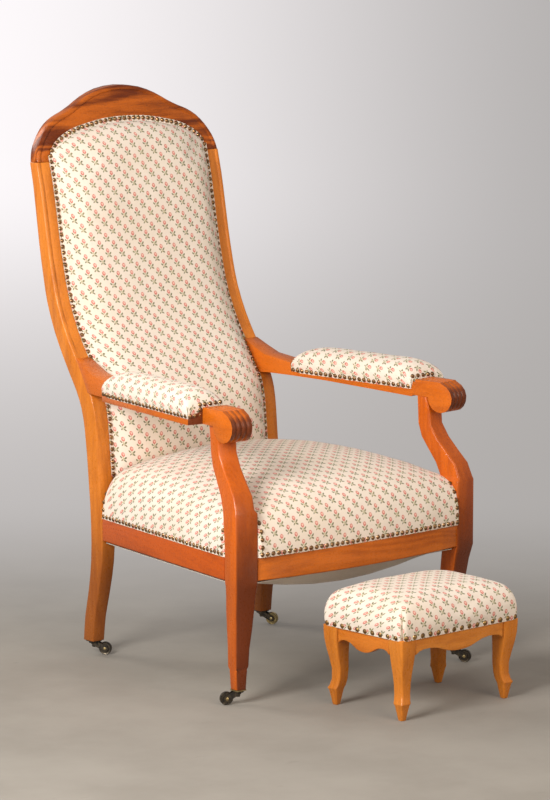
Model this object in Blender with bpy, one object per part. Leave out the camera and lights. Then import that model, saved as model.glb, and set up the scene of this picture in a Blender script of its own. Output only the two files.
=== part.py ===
"""Tall-backed upholstered armchair on castors, with its matching footstool.

The chair has sabre back legs that run up into the back stiles, a shaped crest rail, open arms
that end in fluted scrolls on S-curved supports, a sprung seat and four castors that swivel.
The footstool stands in front of it on cabriole legs joined by scalloped aprons.

Lengths are in metres, +Z is up and the chair faces -Y. Tables named shares hold places as
shares of the named sizes that they follow.
"""

import math

import bmesh
import bpy
from mathutils import Matrix

# Clearance between pieces that touch
GAP = 0.0003

# Castors
WHEEL_RADIUS = 0.0129
WHEEL_WIDTH = 0.0085
WHEEL_CROWN = 0.0008
HUB_RADIUS = 0.0055
HUB_RECESS = 0.0012
AXLE_RADIUS = 0.0018
AXLE_CLEARANCE = 0.0002
AXLE_HEAD_RADIUS = 0.0030
AXLE_HEAD_HEIGHT = 0.0009
CASTOR_TRAIL = 0.0235
CHEEK_THICK = 0.0020
CHEEK_CLEARANCE = 0.0007
CHEEK_EYE_RADIUS = 0.0062
FORK_HEAD_RADIUS = 0.0105
FORK_HEAD_HEIGHT = 0.0030
FORK_BOSS_RADIUS = 0.0042
FORK_BOSS_HEIGHT = 0.0090
PIVOT_RADIUS = 0.0030
WHEEL_HEADROOM = 0.0011
PLATE_SIDE = 0.0240
PLATE_THICK = 0.0020

# Heights of the frame
FOOT_Z = 2 * WHEEL_RADIUS + WHEEL_HEADROOM + PLATE_THICK + GAP
SEAT_RAIL_HEIGHT = 0.0472
SEAT_RAIL_TOP_Z = 0.2868
SEAT_RAIL_BOTTOM_Z = SEAT_RAIL_TOP_Z - SEAT_RAIL_HEIGHT
CREST_JOINT_Z = 0.9780
CREST_HEIGHT = 0.1420
ARM_UNDERSIDE_Z = 0.5306

# Plan of the frame
FRONT_Y = -0.2500
SEAT_DEPTH = 0.5036
SEAT_BACK_Y = FRONT_Y + SEAT_DEPTH
RAIL_THICK = 0.0280
FRONT_RAIL_BOW = 0.0160
FRONT_RAIL_DROP = 0.0020
SIDE_SPLAY_SHARE = 0.1443

# Front legs and arm supports, one piece each
LEG_FRONT_Y = FRONT_Y + 0.0045
LEG_WIDTH = 0.0505
LEG_DEPTH = 0.0430
LEG_EDGE = 0.0030
LEG_NOTCH_SHARE = 0.415
LEG_TOP_Z = ARM_UNDERSIDE_Z - GAP
# Height, then how far the front, back, outer and inner faces stand inside the leg's block
LEG_SHARES = (
    (0.000, 0.430, -0.020, 0.235, 0.280),
    (0.054, 0.410, -0.070, 0.205, 0.250),
    (0.071, 0.405, -0.085, 0.195, 0.235),
    (0.089, 0.391, -0.105, 0.185, 0.208),
    (0.158, 0.372, -0.120, 0.185, 0.168),
    (0.228, 0.326, -0.150, 0.165, 0.079),
    (0.301, 0.267, -0.135, 0.125, 0.020),
    (0.362, 0.151, -0.065, 0.085, 0.014),
    (0.396, 0.058, -0.012, 0.040, 0.000),
    (0.420, 0.000, 0.000, 0.000, 0.000),
    (0.540, 0.000, 0.000, 0.000, 0.000),
    (0.680, 0.000, -0.140, 0.000, 0.000),
    (0.694, 0.065, -0.230, 0.030, 0.110),
    (0.744, 0.300, -0.480, 0.060, 0.080),
    (0.788, 0.780, -0.860, 0.110, 0.070),
    (0.840, 1.330, -1.280, 0.150, 0.040),
    (0.892, 1.720, -1.450, 0.160, 0.010),
    (0.945, 1.770, -1.480, 0.150, 0.010),
    (1.000, 1.942, -1.510, 0.115, 0.010),
)

# Back legs and stiles, one piece each
STILE_OUTER_X = 0.2360
STILE_WIDTH = 0.0360
STILE_FOOT_TAPER = 0.0055
STILE_TAPER_HEIGHT = 0.2700
STILE_DEPTH = 0.0400
BACK_RAKE = 0.2024
# Height, setback of the front face and depth front to back
STILE_SHARES = (
    (0.000, 0.158, 0.790),
    (0.053, 0.131, 0.800),
    (0.112, 0.064, 0.835),
    (0.174, 0.010, 0.905),
    (0.249, 0.000, 0.940),
    (0.344, 0.034, 0.930),
    (0.452, 0.079, 1.000),
    (0.496, 0.112, 1.090),
    (0.529, 0.173, 1.160),
    (0.565, 0.282, 1.180),
    (0.602, 0.407, 1.110),
    (0.649, 0.551, 1.010),
    (0.707, 0.682, 0.910),
    (0.760, 0.757, 0.840),
    (0.831, 0.833, 0.780),
    (0.890, 0.884, 0.725),
    (0.949, 0.939, 0.675),
    (1.000, 1.000, 0.625),
)
CREST_LEAN_SHARE = 0.22

# Moulding along the outer front edge of the stiles and crest
BEAD_RADIUS = 0.0035
BEAD_WIDTH = 0.0080
GROOVE_DEPTH = 0.0018
GROOVE_WIDTH = 0.0085
GROOVE_START_Z = 0.6000
GROOVE_FADE = 0.0500
STILE_EDGE = 0.0025

# Crest rail: its outer edge, then its inner edge, from the stile to the middle
CREST_INSET = 0.0015
CREST_HALF_WIDTH = STILE_OUTER_X - CREST_INSET
CREST_SHARES = (
    ((1.000, 0.000), (0.853, 0.000)),
    ((0.987, 0.105), (0.851, 0.070)),
    ((0.957, 0.225), (0.836, 0.140)),
    ((0.893, 0.378), (0.802, 0.210)),
    ((0.812, 0.510), (0.746, 0.278)),
    ((0.715, 0.605), (0.670, 0.345)),
    ((0.625, 0.662), (0.580, 0.401)),
    ((0.515, 0.745), (0.482, 0.440)),
    ((0.384, 0.860), (0.362, 0.472)),
    ((0.213, 0.960), (0.205, 0.500)),
    ((0.000, 1.000), (0.000, 0.510)),
)

# Arms: boards with an upswept back end and a fluted scroll in front
ARM_BACK_SETBACK = 0.0814
ARM_BACK_Y = SEAT_BACK_Y + ARM_BACK_SETBACK
ARM_NOSE_SETBACK = 0.0225
ARM_NOSE_Y = FRONT_Y + ARM_NOSE_SETBACK
ARM_REACH = ARM_BACK_Y - ARM_NOSE_Y
ARM_HEAD_LENGTH = 0.0953
ARM_HEAD_SHARE = 0.8305
ARM_BOARD_HEIGHT = 0.0720
ARM_SPLAY_SHARE = 0.1215
ARM_LOW_Z = 0.5250
ARM_EDGE = 0.0020
ARM_BOARD_STEPS = 12
# Along the arm from its back: lower edge's place and height, upper edge's place and height,
# then how far the lower edge rises towards the inner side
ARM_SHARES = (
    (0.0893, 0.115, 0.0045, 1.000, 0.000),
    (0.1130, 0.110, 0.0590, 0.810, 0.010),
    (0.1400, 0.105, 0.1120, 0.640, 0.030),
    (0.4160, 0.078, 0.4160, 0.255, 0.057),
    (0.6810, 0.078, 0.6810, 0.255, -0.008),
    (0.8260, 0.078, 0.8260, 0.255, -0.045),
    (0.8335, 0.078, 0.8335, 0.450, 0.000),
    (0.8500, 0.078, 0.8500, 0.450, 0.000),
)
PAD_START_SHARE = 0.2500
PAD_STEP_SHARE = 0.0017
PAD_STEP_TOP_SHARE = 0.500
PAD_STEP_LOW_SHARE = 0.095
PAD_STEP_UNDERCUT_SHARE = 0.050
PAD_END_SHARE = 0.8255
PAD_SEAT_SHARE = 0.255
# Place along the arm, then its outer and inner side as shares of the stile's outer face;
# the part under the pad stands out past the scroll, with a shoulder at each end
OUTER_SHARE, INNER_SHARE = 1, 2
ARM_PLAN_SHARES = (
    (0.000, 1.000, 0.850),
    (0.165, 1.047, 0.864),
    (0.2485, 1.071, 0.885),
    (0.2498, 1.185, 0.886),
    (0.827, 1.392, 1.032),
    (0.832, 1.253, 1.034),
    (1.000, 1.274, 1.089),
)
SCROLL_RADIUS = 0.0305
SCROLL_TOP_Z = 0.5625
SCROLL_LENGTH = 0.0925
SCROLL_BACK_Y = ARM_NOSE_Y + SCROLL_LENGTH
SCROLL_BROW = 0.0440
SCROLL_CHEEK = 0.0008
SCROLL_STEPS = 12
SCROLL_CURL = math.radians(350)
REED_COUNT = 4
REED_STEPS = 5
REED_DEPTH = 0.0024
REED_FADE = 0.0200

# Arm pads
ARM_PAD_HEIGHT = 0.0540
ARM_PAD_BULGE = 0.0030
ARM_PAD_RINGS = 9
ARM_PAD_SIDES = 12
ARM_PAD_SQUARENESS = 5.6
ARM_PAD_END_SHARE = 0.35
ARM_PAD_ROUNDNESS = 0.75

# Back upholstery
BACK_PAD_BOTTOM_Z = 0.3755
BACK_PAD_CROWN = 0.0400
BACK_PAD_SINK = 0.0100
BACK_PAD_ROWS = 16
BACK_PAD_COLUMNS = 8
BACK_PAD_SQUARENESS = 5.0
BACK_COVER_THICK = 0.0040
BACK_COVER_INSET = 0.0020
BACK_RAIL_HEIGHT = 0.0370
BACK_RAIL_THICK = 0.0180
BACK_RAIL_SETBACK = 0.0020

# Seat upholstery and what carries it
SEAT_FRONT_WALL = 0.0640
SEAT_BACK_WALL = 0.0760
SEAT_CROWN = 0.0810
SEAT_STEPS = 14
SEAT_WALL_SQUARENESS = 24
SEAT_CROWN_SQUARENESS = 2.0
SEAT_BULGE = 0.0020
POCKET_HALF_WIDTH = 0.1500
POCKET_HALF_DEPTH = 0.1350
POCKET_HEIGHT = 0.0650
WEB_WIDTH = 0.0500
WEB_THICK = 0.0016
WEB_COUNT = 4
SPRING_WIRE = 0.0034
SPRING_RADIUS = 0.0300
SPRING_WAIST_SHARE = 0.70
SPRING_TURNS = 5
SPRING_POINTS = 9
SPRING_SPREAD_X = 0.1000
SPRING_SPREAD_Y = 0.0850
DUST_COVER_THICK = 0.0016
DUST_COVER_SAG = 0.0480
DUST_COVER_SIDE_FALL = 1.3
DUST_COVER_END_SQUARENESS = 4.0
DUST_COVER_STEPS = 8
DUST_COVER_INSET = 0.0100
DUST_COVER_NOTCH = 0.0030
BLOCK_REACH = 0.0450
BLOCK_HEIGHT = 0.0300

# Footstool
STOOL_SPAN_X = 0.2720
STOOL_SPAN_Y = 0.1785
STOOL_CENTRE_Y = -0.4250
STOOL_TURN = math.radians(1.8)
STOOL_LEG_HEIGHT = 0.1560
STOOL_LEG_WIDTH = 0.0360
STOOL_LEG_EDGE = 0.0020
# Height, then how far the leg reaches outwards and inwards from its foot's centre
STOOL_LEG_SHARES = (
    (0.000, 0.160, 0.160),
    (0.090, 0.225, 0.230),
    (0.180, 0.300, 0.290),
    (0.208, 0.365, 0.320),
    (0.245, 0.275, 0.380),
    (0.320, 0.200, 0.440),
    (0.450, 0.200, 0.480),
    (0.580, 0.300, 0.480),
    (0.700, 0.405, 0.490),
    (0.830, 0.490, 0.510),
    (0.930, 0.515, 0.550),
    (1.000, 0.520, 0.560),
)
APRON_THICK = 0.0150
APRON_SETBACK = 0.0030
APRON_HEIGHT = 0.0415
# Along the apron from a leg to its middle, then the height of its lower edge
APRON_SHARES = (
    (0.000, 0.230),
    (0.040, 0.360),
    (0.090, 0.420),
    (0.160, 0.430),
    (0.240, 0.370),
    (0.310, 0.250),
    (0.370, 0.140),
    (0.430, 0.085),
    (0.500, 0.070),
)
DECK_THICK = 0.0080
STOOL_PAD_HEIGHT = 0.0770
STOOL_PAD_WALL_SHARE = 0.69
STOOL_PAD_LOW_SHARE = 0.16
STOOL_PAD_OVERHANG = 0.0050
STOOL_PAD_CORNER = 0.0200
STOOL_PAD_FOOT_SHARE = 0.972
STOOL_PAD_ROUNDNESS = 0.42
STOOL_PAD_STEPS = 5

# Cutters run past what they cut
CUT_OVERRUN = 0.0100

FINISHES = {
    "wood": ((0.52, 0.20, 0.05), 0.35, 0.0),
    "crest_wood": ((0.40, 0.14, 0.04), 0.35, 0.0),
    "fabric": ((0.86, 0.80, 0.70), 0.90, 0.0),
    "hessian": ((0.55, 0.50, 0.42), 0.95, 0.0),
    "spring_steel": ((0.40, 0.38, 0.36), 0.45, 0.9),
    "bronze": ((0.10, 0.08, 0.06), 0.50, 0.8),
    "brass": ((0.55, 0.40, 0.16), 0.40, 0.9),
}

BOTH_SIDES = ((-1, "left"), (1, "right"))


# Helpers for tables, meshes and objects


def along(table, place, column=1):
    """Reads a table at a place with a smooth curve through its rows."""
    if place <= table[0][0]:
        return table[0][column]
    if place >= table[-1][0]:
        return table[-1][column]
    last = len(table) - 1
    index = next(i for i in range(last) if table[i][0] <= place <= table[i + 1][0])

    def slope(i):
        low, high = max(i - 1, 0), min(i + 1, last)
        return (table[high][column] - table[low][column]) / (table[high][0] - table[low][0])

    low_place, high_place = table[index][0], table[index + 1][0]
    low, high = table[index][column], table[index + 1][column]
    span = high_place - low_place
    t = (place - low_place) / span
    return (
        low * (1 + 2 * t) * (1 - t) ** 2
        + slope(index) * span * t * (1 - t) ** 2
        + high * t * t * (3 - 2 * t)
        + slope(index + 1) * span * t * t * (t - 1)
    )


def straight(table, place, column=1):
    """Reads a table at a place with straight lines between its rows."""
    for low, high in zip(table, table[1:]):
        if place <= high[0]:
            t = max((place - low[0]) / (high[0] - low[0]), 0)
            return low[column] + t * (high[column] - low[column])
    return table[-1][column]


def mix(low, high, share):
    return low + (high - low) * share


def crown(u, squareness):
    """Height share of a stuffed form, 1 in its middle and 0 at its edge u = 1."""
    return math.sqrt(max(1 - abs(u) ** squareness, 0))


def eased(steps):
    """Places from -1 to 1 that crowd towards both ends."""
    return [math.sin(math.pi * (i / steps - 0.5)) for i in range(steps + 1)]


def material(finish):
    """The Principled material of one finish, made once."""
    if finish in bpy.data.materials:
        return bpy.data.materials[finish]
    colour, roughness, metallic = FINISHES[finish]
    made = bpy.data.materials.new(finish)
    made.use_nodes = True
    shader = made.node_tree.nodes["Principled BSDF"]
    shader.inputs["Base Color"].default_value = (*colour, 1)
    shader.inputs["Roughness"].default_value = roughness
    shader.inputs["Metallic"].default_value = metallic
    made.diffuse_color = (*colour, 1)
    return made


def mesh_from(bm, name):
    """Turns a bmesh into a mesh with its faces out and its round parts smooth."""
    bmesh.ops.recalc_face_normals(bm, faces=bm.faces)
    mesh = bpy.data.meshes.new(name)
    bm.to_mesh(mesh)
    bm.free()
    mesh.shade_smooth()
    mesh.set_sharp_from_angle(angle=math.radians(35))
    return mesh


def add_object(name, mesh, finish, parent=None, location=(0, 0, 0)):
    """Adds a named object with its own material slot."""
    made = bpy.data.objects.new(name, mesh)
    if not mesh.materials:
        mesh.materials.append(material(finish))
    made.location = location
    made.parent = parent
    bpy.context.scene.collection.objects.link(made)
    return made


def add_cutter(name, mesh, parent=None):
    """Adds an object that only cuts others."""
    made = bpy.data.objects.new(name, mesh)
    made.hide_render = True
    made.display_type = "WIRE"
    made.parent = parent
    bpy.context.scene.collection.objects.link(made)
    return made


def combine(target, tool, operation):
    """Adds a Boolean to an object."""
    boolean = target.modifiers.new(operation.lower(), "BOOLEAN")
    boolean.operation = operation
    boolean.object = tool
    boolean.solver = "EXACT"


def soften(target, width):
    """Rounds an object's edges."""
    bevel = target.modifiers.new("edges", "BEVEL")
    bevel.width = width
    bevel.segments = 1
    bevel.limit_method = "ANGLE"


def baked(target):
    """The mesh of an object with its modifiers applied."""
    bpy.context.view_layer.update()
    seen = target.evaluated_get(bpy.context.evaluated_depsgraph_get())
    mesh = bpy.data.meshes.new_from_object(seen)
    mesh.name = target.name
    return mesh


def discard(*objects):
    for each in objects:
        bpy.data.objects.remove(each)


def mirrored(bm):
    """Flips a bmesh from the right side to the left."""
    bmesh.ops.scale(bm, vec=(-1, 1, 1), verts=bm.verts)
    bmesh.ops.reverse_faces(bm, faces=bm.faces)
    return bm


def loft(rings):
    """A closed body through rings of as many points each."""
    bm = bmesh.new()
    loops = [[bm.verts.new(point) for point in ring] for ring in rings]
    for low, high in zip(loops, loops[1:]):
        for i, corner in enumerate(low):
            after = (i + 1) % len(low)
            bm.faces.new((corner, low[after], high[after], high[i]))
    bm.faces.new(loops[0][::-1])
    bm.faces.new(loops[-1])
    return bm


def prism(outline, low, high, axis="Z"):
    """An outline of two coordinates pushed from low to high along an axis."""
    place = {
        "X": lambda a, b, c: (c, a, b),
        "Y": lambda a, b, c: (a, c, b),
        "Z": lambda a, b, c: (a, b, c),
    }[axis]
    return loft([[place(a, b, c) for a, b in outline] for c in (low, high)])


def block(low, high):
    """A box between two corners."""
    outline = ((low[0], low[1]), (high[0], low[1]), (high[0], high[1]), (low[0], high[1]))
    return prism(outline, low[2], high[2])


def turned(profile, segments, axis="Z"):
    """A body turned from a closed profile of (radius, height) that stays off its axis."""
    bm = bmesh.new()
    verts = [bm.verts.new((radius, 0, height)) for radius, height in profile]
    edges = [bm.edges.new((a, b)) for a, b in zip(verts, verts[1:] + verts[:1])]
    bmesh.ops.spin(
        bm,
        geom=verts + edges,
        cent=(0, 0, 0),
        axis=(0, 0, 1),
        angle=2 * math.pi,
        steps=segments,
        use_merge=True,
    )
    if axis == "Y":
        bmesh.ops.rotate(bm, matrix=Matrix.Rotation(math.pi / 2, 3, "X"), verts=bm.verts)
    return bm


def rod(radius, low, high, segments, axis="Z", crown_height=0):
    """A solid cylinder between two heights, with a domed low end where asked."""
    rings = [(radius, low + crown_height), (radius, high)]
    if crown_height:
        rings.insert(0, (radius * math.sin(math.radians(45)), low))
    place = (lambda x, y, z: (x, y, z)) if axis == "Z" else (lambda x, y, z: (x, z, y))
    turns = [2 * math.pi * i / segments for i in range(segments)]
    return loft([[place(r * math.cos(a), r * math.sin(a), z) for a in turns] for r, z in rings])


def shell(front, back):
    """A closed sheet between two grids of points that match, cut along the same diagonals."""
    bm = bmesh.new()
    grids = [[[bm.verts.new(point) for point in row] for row in grid] for grid in (front, back)]
    rows, columns = len(front), len(front[0])
    for grid in grids:
        for i in range(rows - 1):
            for j in range(columns - 1):
                cell = [grid[i][j], grid[i][j + 1], grid[i + 1][j + 1], grid[i + 1][j]]
                if grid is grids[1]:
                    cell = cell[::-1]
                if (grid is grids[1]) == (2 * j + 1 < columns):
                    cell = cell[1:] + cell[:1]
                bm.faces.new(cell[:3])
                bm.faces.new((cell[2], cell[3], cell[0]))
    rim = [(0, j) for j in range(columns)]
    rim += [(i, columns - 1) for i in range(1, rows)]
    rim += [(rows - 1, j) for j in range(columns - 2, -1, -1)]
    rim += [(i, 0) for i in range(rows - 2, 0, -1)]
    for (i, j), (k, m) in zip(rim, rim[1:] + rim[:1]):
        bm.faces.new((grids[0][i][j], grids[1][i][j], grids[1][k][m], grids[0][k][m]))
    return bm


def dome(top):
    """A closed body under a grid of points, flat below, whose rim lies in one plane."""
    bm = bmesh.new()
    grid = [[bm.verts.new(point) for point in row] for row in top]
    rows, columns = len(top), len(top[0])
    for i in range(rows - 1):
        for j in range(columns - 1):
            bm.faces.new((grid[i][j], grid[i][j + 1], grid[i + 1][j + 1], grid[i + 1][j]))
    rim = grid[0] + [row[-1] for row in grid[1:]] + grid[-1][-2::-1] + [row[0] for row in grid[-2:0:-1]]
    bm.faces.new(rim[::-1])
    return bm


def chamfered(low_x, high_x, low_y, high_y, edge):
    """The corners of a rectangle with its edges taken off."""
    return (
        (low_x + edge, low_y),
        (high_x - edge, low_y),
        (high_x, low_y + edge),
        (high_x, high_y - edge),
        (high_x - edge, high_y),
        (low_x + edge, high_y),
        (low_x, high_y - edge),
        (low_x, low_y + edge),
    )


# The frame's curves


def stile_curve():
    """Rows of height, front face and depth, twice as many as the stile's own table."""
    shares = [row[0] for row in STILE_SHARES]
    shares = sorted(shares + [mix(low, high, 0.5) for low, high in zip(shares, shares[1:])])
    curve = []
    for share in shares:
        front = SEAT_BACK_Y + along(STILE_SHARES, share) * BACK_RAKE
        depth = along(STILE_SHARES, share, 2) * STILE_DEPTH
        curve.append((mix(FOOT_Z, CREST_JOINT_Z, share), front, depth))
    return curve


STILE_CURVE = stile_curve()


def stile_front(z):
    """The front face of the stiles and crest at a height."""
    return straight(STILE_CURVE, z) + max(z - CREST_JOINT_Z, 0) * CREST_LEAN_SHARE


def stile_depth(z):
    return straight(STILE_CURVE, z, 2)


def stile_inner_x(z):
    taper = max(1 - (z - FOOT_Z) / STILE_TAPER_HEIGHT, 0) * STILE_FOOT_TAPER
    return STILE_OUTER_X - STILE_WIDTH + taper


def crest_curve():
    """The crest's outer and inner edge as (x, z), from one stile to the other.

    Half way between its table's rows it takes points on a smooth curve through four of them.
    """
    rows = [(outer[0], outer[1], inner[0], inner[1]) for outer, inner in CREST_SHARES]
    rows += [(-outer[0], outer[1], -inner[0], inner[1]) for outer, inner in CREST_SHARES[-2::-1]]
    padded = rows[:1] + rows + rows[-1:]
    curve = []
    for before, low, high, after in zip(padded, rows, rows[1:], padded[3:]):
        curve.append(low)
        middle = [(9 * (b + c) - a - d) / 16 for a, b, c, d in zip(before, low, high, after)]
        curve.append(middle)
    curve.append(rows[-1])
    edges = []
    for outer_x, outer_z, inner_x, inner_z in curve:
        outer = (outer_x * CREST_HALF_WIDTH, CREST_JOINT_Z + outer_z * CREST_HEIGHT)
        inner = (inner_x * CREST_HALF_WIDTH, CREST_JOINT_Z + inner_z * CREST_HEIGHT)
        edges.append((outer, inner))
    return edges


def crest_inner_z(x):
    """The height of the crest's inner edge at a distance from the middle."""
    edge = [inner for _, inner in crest_curve() if inner[0] >= 0]
    return straight(edge[::-1], min(abs(x), edge[1][0]))


def moulded_ring(outer, inner):
    """A section of the back frame between its outer and inner edge, each an (x, z)."""
    run = math.dist(outer, inner)
    groove = GROOVE_DEPTH * min(max((outer[1] - GROOVE_START_Z) / GROOVE_FADE, 0), 1)
    depth = stile_depth(outer[1])
    section = (
        (STILE_EDGE, depth),
        (0, depth - STILE_EDGE),
        (0, BEAD_RADIUS),
        (BEAD_RADIUS * 0.3, BEAD_RADIUS * 0.3),
        (BEAD_RADIUS, 0),
        (BEAD_WIDTH, 0),
        (BEAD_WIDTH + GROOVE_WIDTH * 0.15, groove),
        (BEAD_WIDTH + GROOVE_WIDTH * 0.50, groove * 0.75),
        (BEAD_WIDTH + GROOVE_WIDTH, 0),
        (run - STILE_EDGE, 0),
        (run, STILE_EDGE),
        (run, depth),
    )
    ring = []
    for reach, set_in in section:
        x = mix(outer[0], inner[0], reach / run)
        z = mix(outer[1], inner[1], reach / run)
        ring.append((x, stile_front(z) + set_in, z))
    return ring


def side_rail_outer_x(y):
    """The splayed outer face of the side rails."""
    return STILE_OUTER_X + (SEAT_BACK_Y - y) * SIDE_SPLAY_SHARE


def arm_y(share):
    """A place along the arm, whose head in front of the pad keeps its own length."""
    body = min(share / ARM_HEAD_SHARE, 1) * (ARM_REACH - ARM_HEAD_LENGTH)
    head = max(share - ARM_HEAD_SHARE, 0) / (1 - ARM_HEAD_SHARE) * ARM_HEAD_LENGTH
    return ARM_BACK_Y - body - head


def arm_side_x(y, column):
    """An arm's outer or inner side at a place along it."""
    return STILE_OUTER_X * straight(ARM_PLAN_SHARES, (ARM_BACK_Y - y) / ARM_REACH, column)


# The chair's wooden frame


def build_stiles():
    for side, hand in BOTH_SIDES:
        rings = []
        for height, _, _ in STILE_CURVE:
            z = min(height, CREST_JOINT_Z - GAP)
            rings.append(moulded_ring((STILE_OUTER_X, z), (stile_inner_x(z), z)))
        bm = loft(rings)
        if side < 0:
            bm = mirrored(bm)
        add_object(f"back_stile_{hand}", mesh_from(bm, f"back_stile_{hand}"), "wood")


def build_crest_rail():
    bm = loft([moulded_ring(outer, inner) for outer, inner in crest_curve()])
    add_object("crest_rail", mesh_from(bm, "crest_rail"), "crest_wood")


def build_cross_rails():
    """The rails that tie the two stiles, under the seat's back edge and under the back pad."""
    half = STILE_OUTER_X - STILE_WIDTH - GAP
    low = (-half, SEAT_BACK_Y + GAP, SEAT_RAIL_BOTTOM_Z)
    high = (half, SEAT_BACK_Y + RAIL_THICK, SEAT_RAIL_TOP_Z)
    seat_rail = add_object("back_seat_rail", mesh_from(block(low, high), "back_seat_rail"), "wood")
    soften(seat_rail, ARM_EDGE)

    top_z = BACK_PAD_BOTTOM_Z - GAP
    front_y = stile_front(top_z) + BACK_RAIL_SETBACK
    low = (-half, front_y, top_z - BACK_RAIL_HEIGHT)
    high = (half, front_y + BACK_RAIL_THICK, top_z)
    back_rail = add_object("back_lower_rail", mesh_from(block(low, high), "back_lower_rail"), "wood")
    soften(back_rail, ARM_EDGE)


def leg_point(inwards, back):
    """The plan place of a point in the right leg's block, which stands square to the splayed rail.

    Both lengths are taken from the block's outer front corner.
    """
    turn = math.atan(SIDE_SPLAY_SHARE)
    x = side_rail_outer_x(LEG_FRONT_Y) - inwards * math.cos(turn) - back * math.sin(turn)
    y = LEG_FRONT_Y - inwards * math.sin(turn) + back * math.cos(turn)
    return x, y


def leg_inner_x(y):
    """The inner face of the right leg's block at a place front to back."""
    x, front = leg_point(LEG_WIDTH, 0)
    return x - (y - front) * SIDE_SPLAY_SHARE


def leg_rings(grow_outer, grow_inner, lowest=0):
    """Sections of the right leg from the lowest share up, grown outwards and inwards."""
    rings = []
    for share, front, back, outer, inner in LEG_SHARES:
        if share >= lowest:
            corners = chamfered(
                outer * LEG_WIDTH - grow_outer,
                LEG_WIDTH - inner * LEG_WIDTH + grow_inner,
                front * LEG_DEPTH - grow_outer,
                LEG_DEPTH - back * LEG_DEPTH + grow_inner,
                LEG_EDGE,
            )
            rings.append([(*leg_point(u, v), mix(FOOT_Z, LEG_TOP_Z, share)) for u, v in corners])
    return rings


def build_front_legs():
    for side, hand in BOTH_SIDES:
        bm = loft(leg_rings(0, 0))
        if side < 0:
            bm = mirrored(bm)
        add_object(f"front_leg_{hand}", mesh_from(bm, f"front_leg_{hand}"), "wood")


def build_seat_rails():
    back_end = SEAT_BACK_Y - GAP
    for side, hand in BOTH_SIDES:
        outline = (
            leg_point(RAIL_THICK, LEG_DEPTH + GAP),
            leg_point(0, LEG_DEPTH + GAP),
            (side_rail_outer_x(back_end), back_end),
            (side_rail_outer_x(back_end) - RAIL_THICK, back_end),
        )
        bm = prism(outline, SEAT_RAIL_BOTTOM_Z, SEAT_RAIL_TOP_Z)
        if side < 0:
            bm = mirrored(bm)
        rail = add_object(f"side_rail_{hand}", mesh_from(bm, f"side_rail_{hand}"), "wood")
        soften(rail, ARM_EDGE)

    rings = []
    for u in [i / 5 - 1 for i in range(11)]:
        bow = (1 - u * u) * FRONT_RAIL_BOW
        low_z = SEAT_RAIL_BOTTOM_Z - (1 - u * u) * FRONT_RAIL_DROP
        corners = chamfered(FRONT_Y, FRONT_Y + RAIL_THICK, low_z, SEAT_RAIL_TOP_Z, ARM_EDGE)
        rings.append([(u * (leg_inner_x(y) - GAP), y - bow, z) for y, z in corners])
    add_object("front_rail", mesh_from(loft(rings), "front_rail"), "wood")


def build_corner_blocks():
    """Glue blocks in the corners of the seat frame, cut round the legs and stiles."""
    rail_back = FRONT_Y + RAIL_THICK + GAP
    leg_corner = leg_point(LEG_WIDTH + GAP, LEG_DEPTH + GAP)
    rail_corner = leg_point(RAIL_THICK + GAP, LEG_DEPTH + GAP)
    stile_side = STILE_OUTER_X - STILE_WIDTH - 2 * GAP
    top_z = SEAT_RAIL_TOP_Z - (SEAT_RAIL_HEIGHT - BLOCK_HEIGHT)
    for side, hand in BOTH_SIDES:
        front = (
            (leg_inner_x(rail_back) - GAP - BLOCK_REACH, rail_back),
            (leg_inner_x(rail_back) - 2 * GAP, rail_back),
            leg_corner,
            rail_corner,
            leg_point(RAIL_THICK + GAP, LEG_DEPTH + BLOCK_REACH),
        )
        rail_side = side_rail_outer_x(SEAT_BACK_Y) - RAIL_THICK - 2 * GAP
        back = (
            (rail_side + BLOCK_REACH * SIDE_SPLAY_SHARE, SEAT_BACK_Y - BLOCK_REACH),
            (rail_side, SEAT_BACK_Y - GAP),
            (stile_side, SEAT_BACK_Y - GAP),
            (stile_side - BLOCK_REACH, SEAT_BACK_Y - GAP),
        )
        for place, outline in (("front", front), ("back", back)):
            name = f"corner_block_{place}_{hand}"
            bm = prism(outline, top_z - BLOCK_HEIGHT, top_z)
            if side < 0:
                bm = mirrored(bm)
            add_object(name, mesh_from(bm, name), "wood")


# Arms with fluted scrolls


def arm_board():
    """The board from the stile to the scroll, its back end fitted to the stile's front."""
    heights = [i / ARM_BOARD_STEPS for i in range(ARM_BOARD_STEPS + 1)]
    rows = list(ARM_SHARES)
    step = PAD_START_SHARE - PAD_STEP_SHARE
    for start, top in ((step, PAD_STEP_TOP_SHARE), (PAD_START_SHARE, PAD_SEAT_SHARE)):
        rows.append((start, PAD_STEP_LOW_SHARE, start, top, PAD_STEP_UNDERCUT_SHARE))
    rings = []
    for low_share, low_z, high_share, high_z, undercut in sorted(rows):
        ring = []
        for column, lift, steps in ((OUTER_SHARE, 0, heights), (INNER_SHARE, undercut, heights[::-1])):
            for t in steps:
                y = mix(arm_y(low_share), arm_y(high_share), t)
                z = ARM_LOW_Z + mix(low_z + lift, high_z, t) * ARM_BOARD_HEIGHT
                if not rings:
                    y = stile_front(z) - 2 * GAP
                ring.append((arm_side_x(y, column), y, z))
        rings.append(ring)
    return loft(rings)


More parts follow.
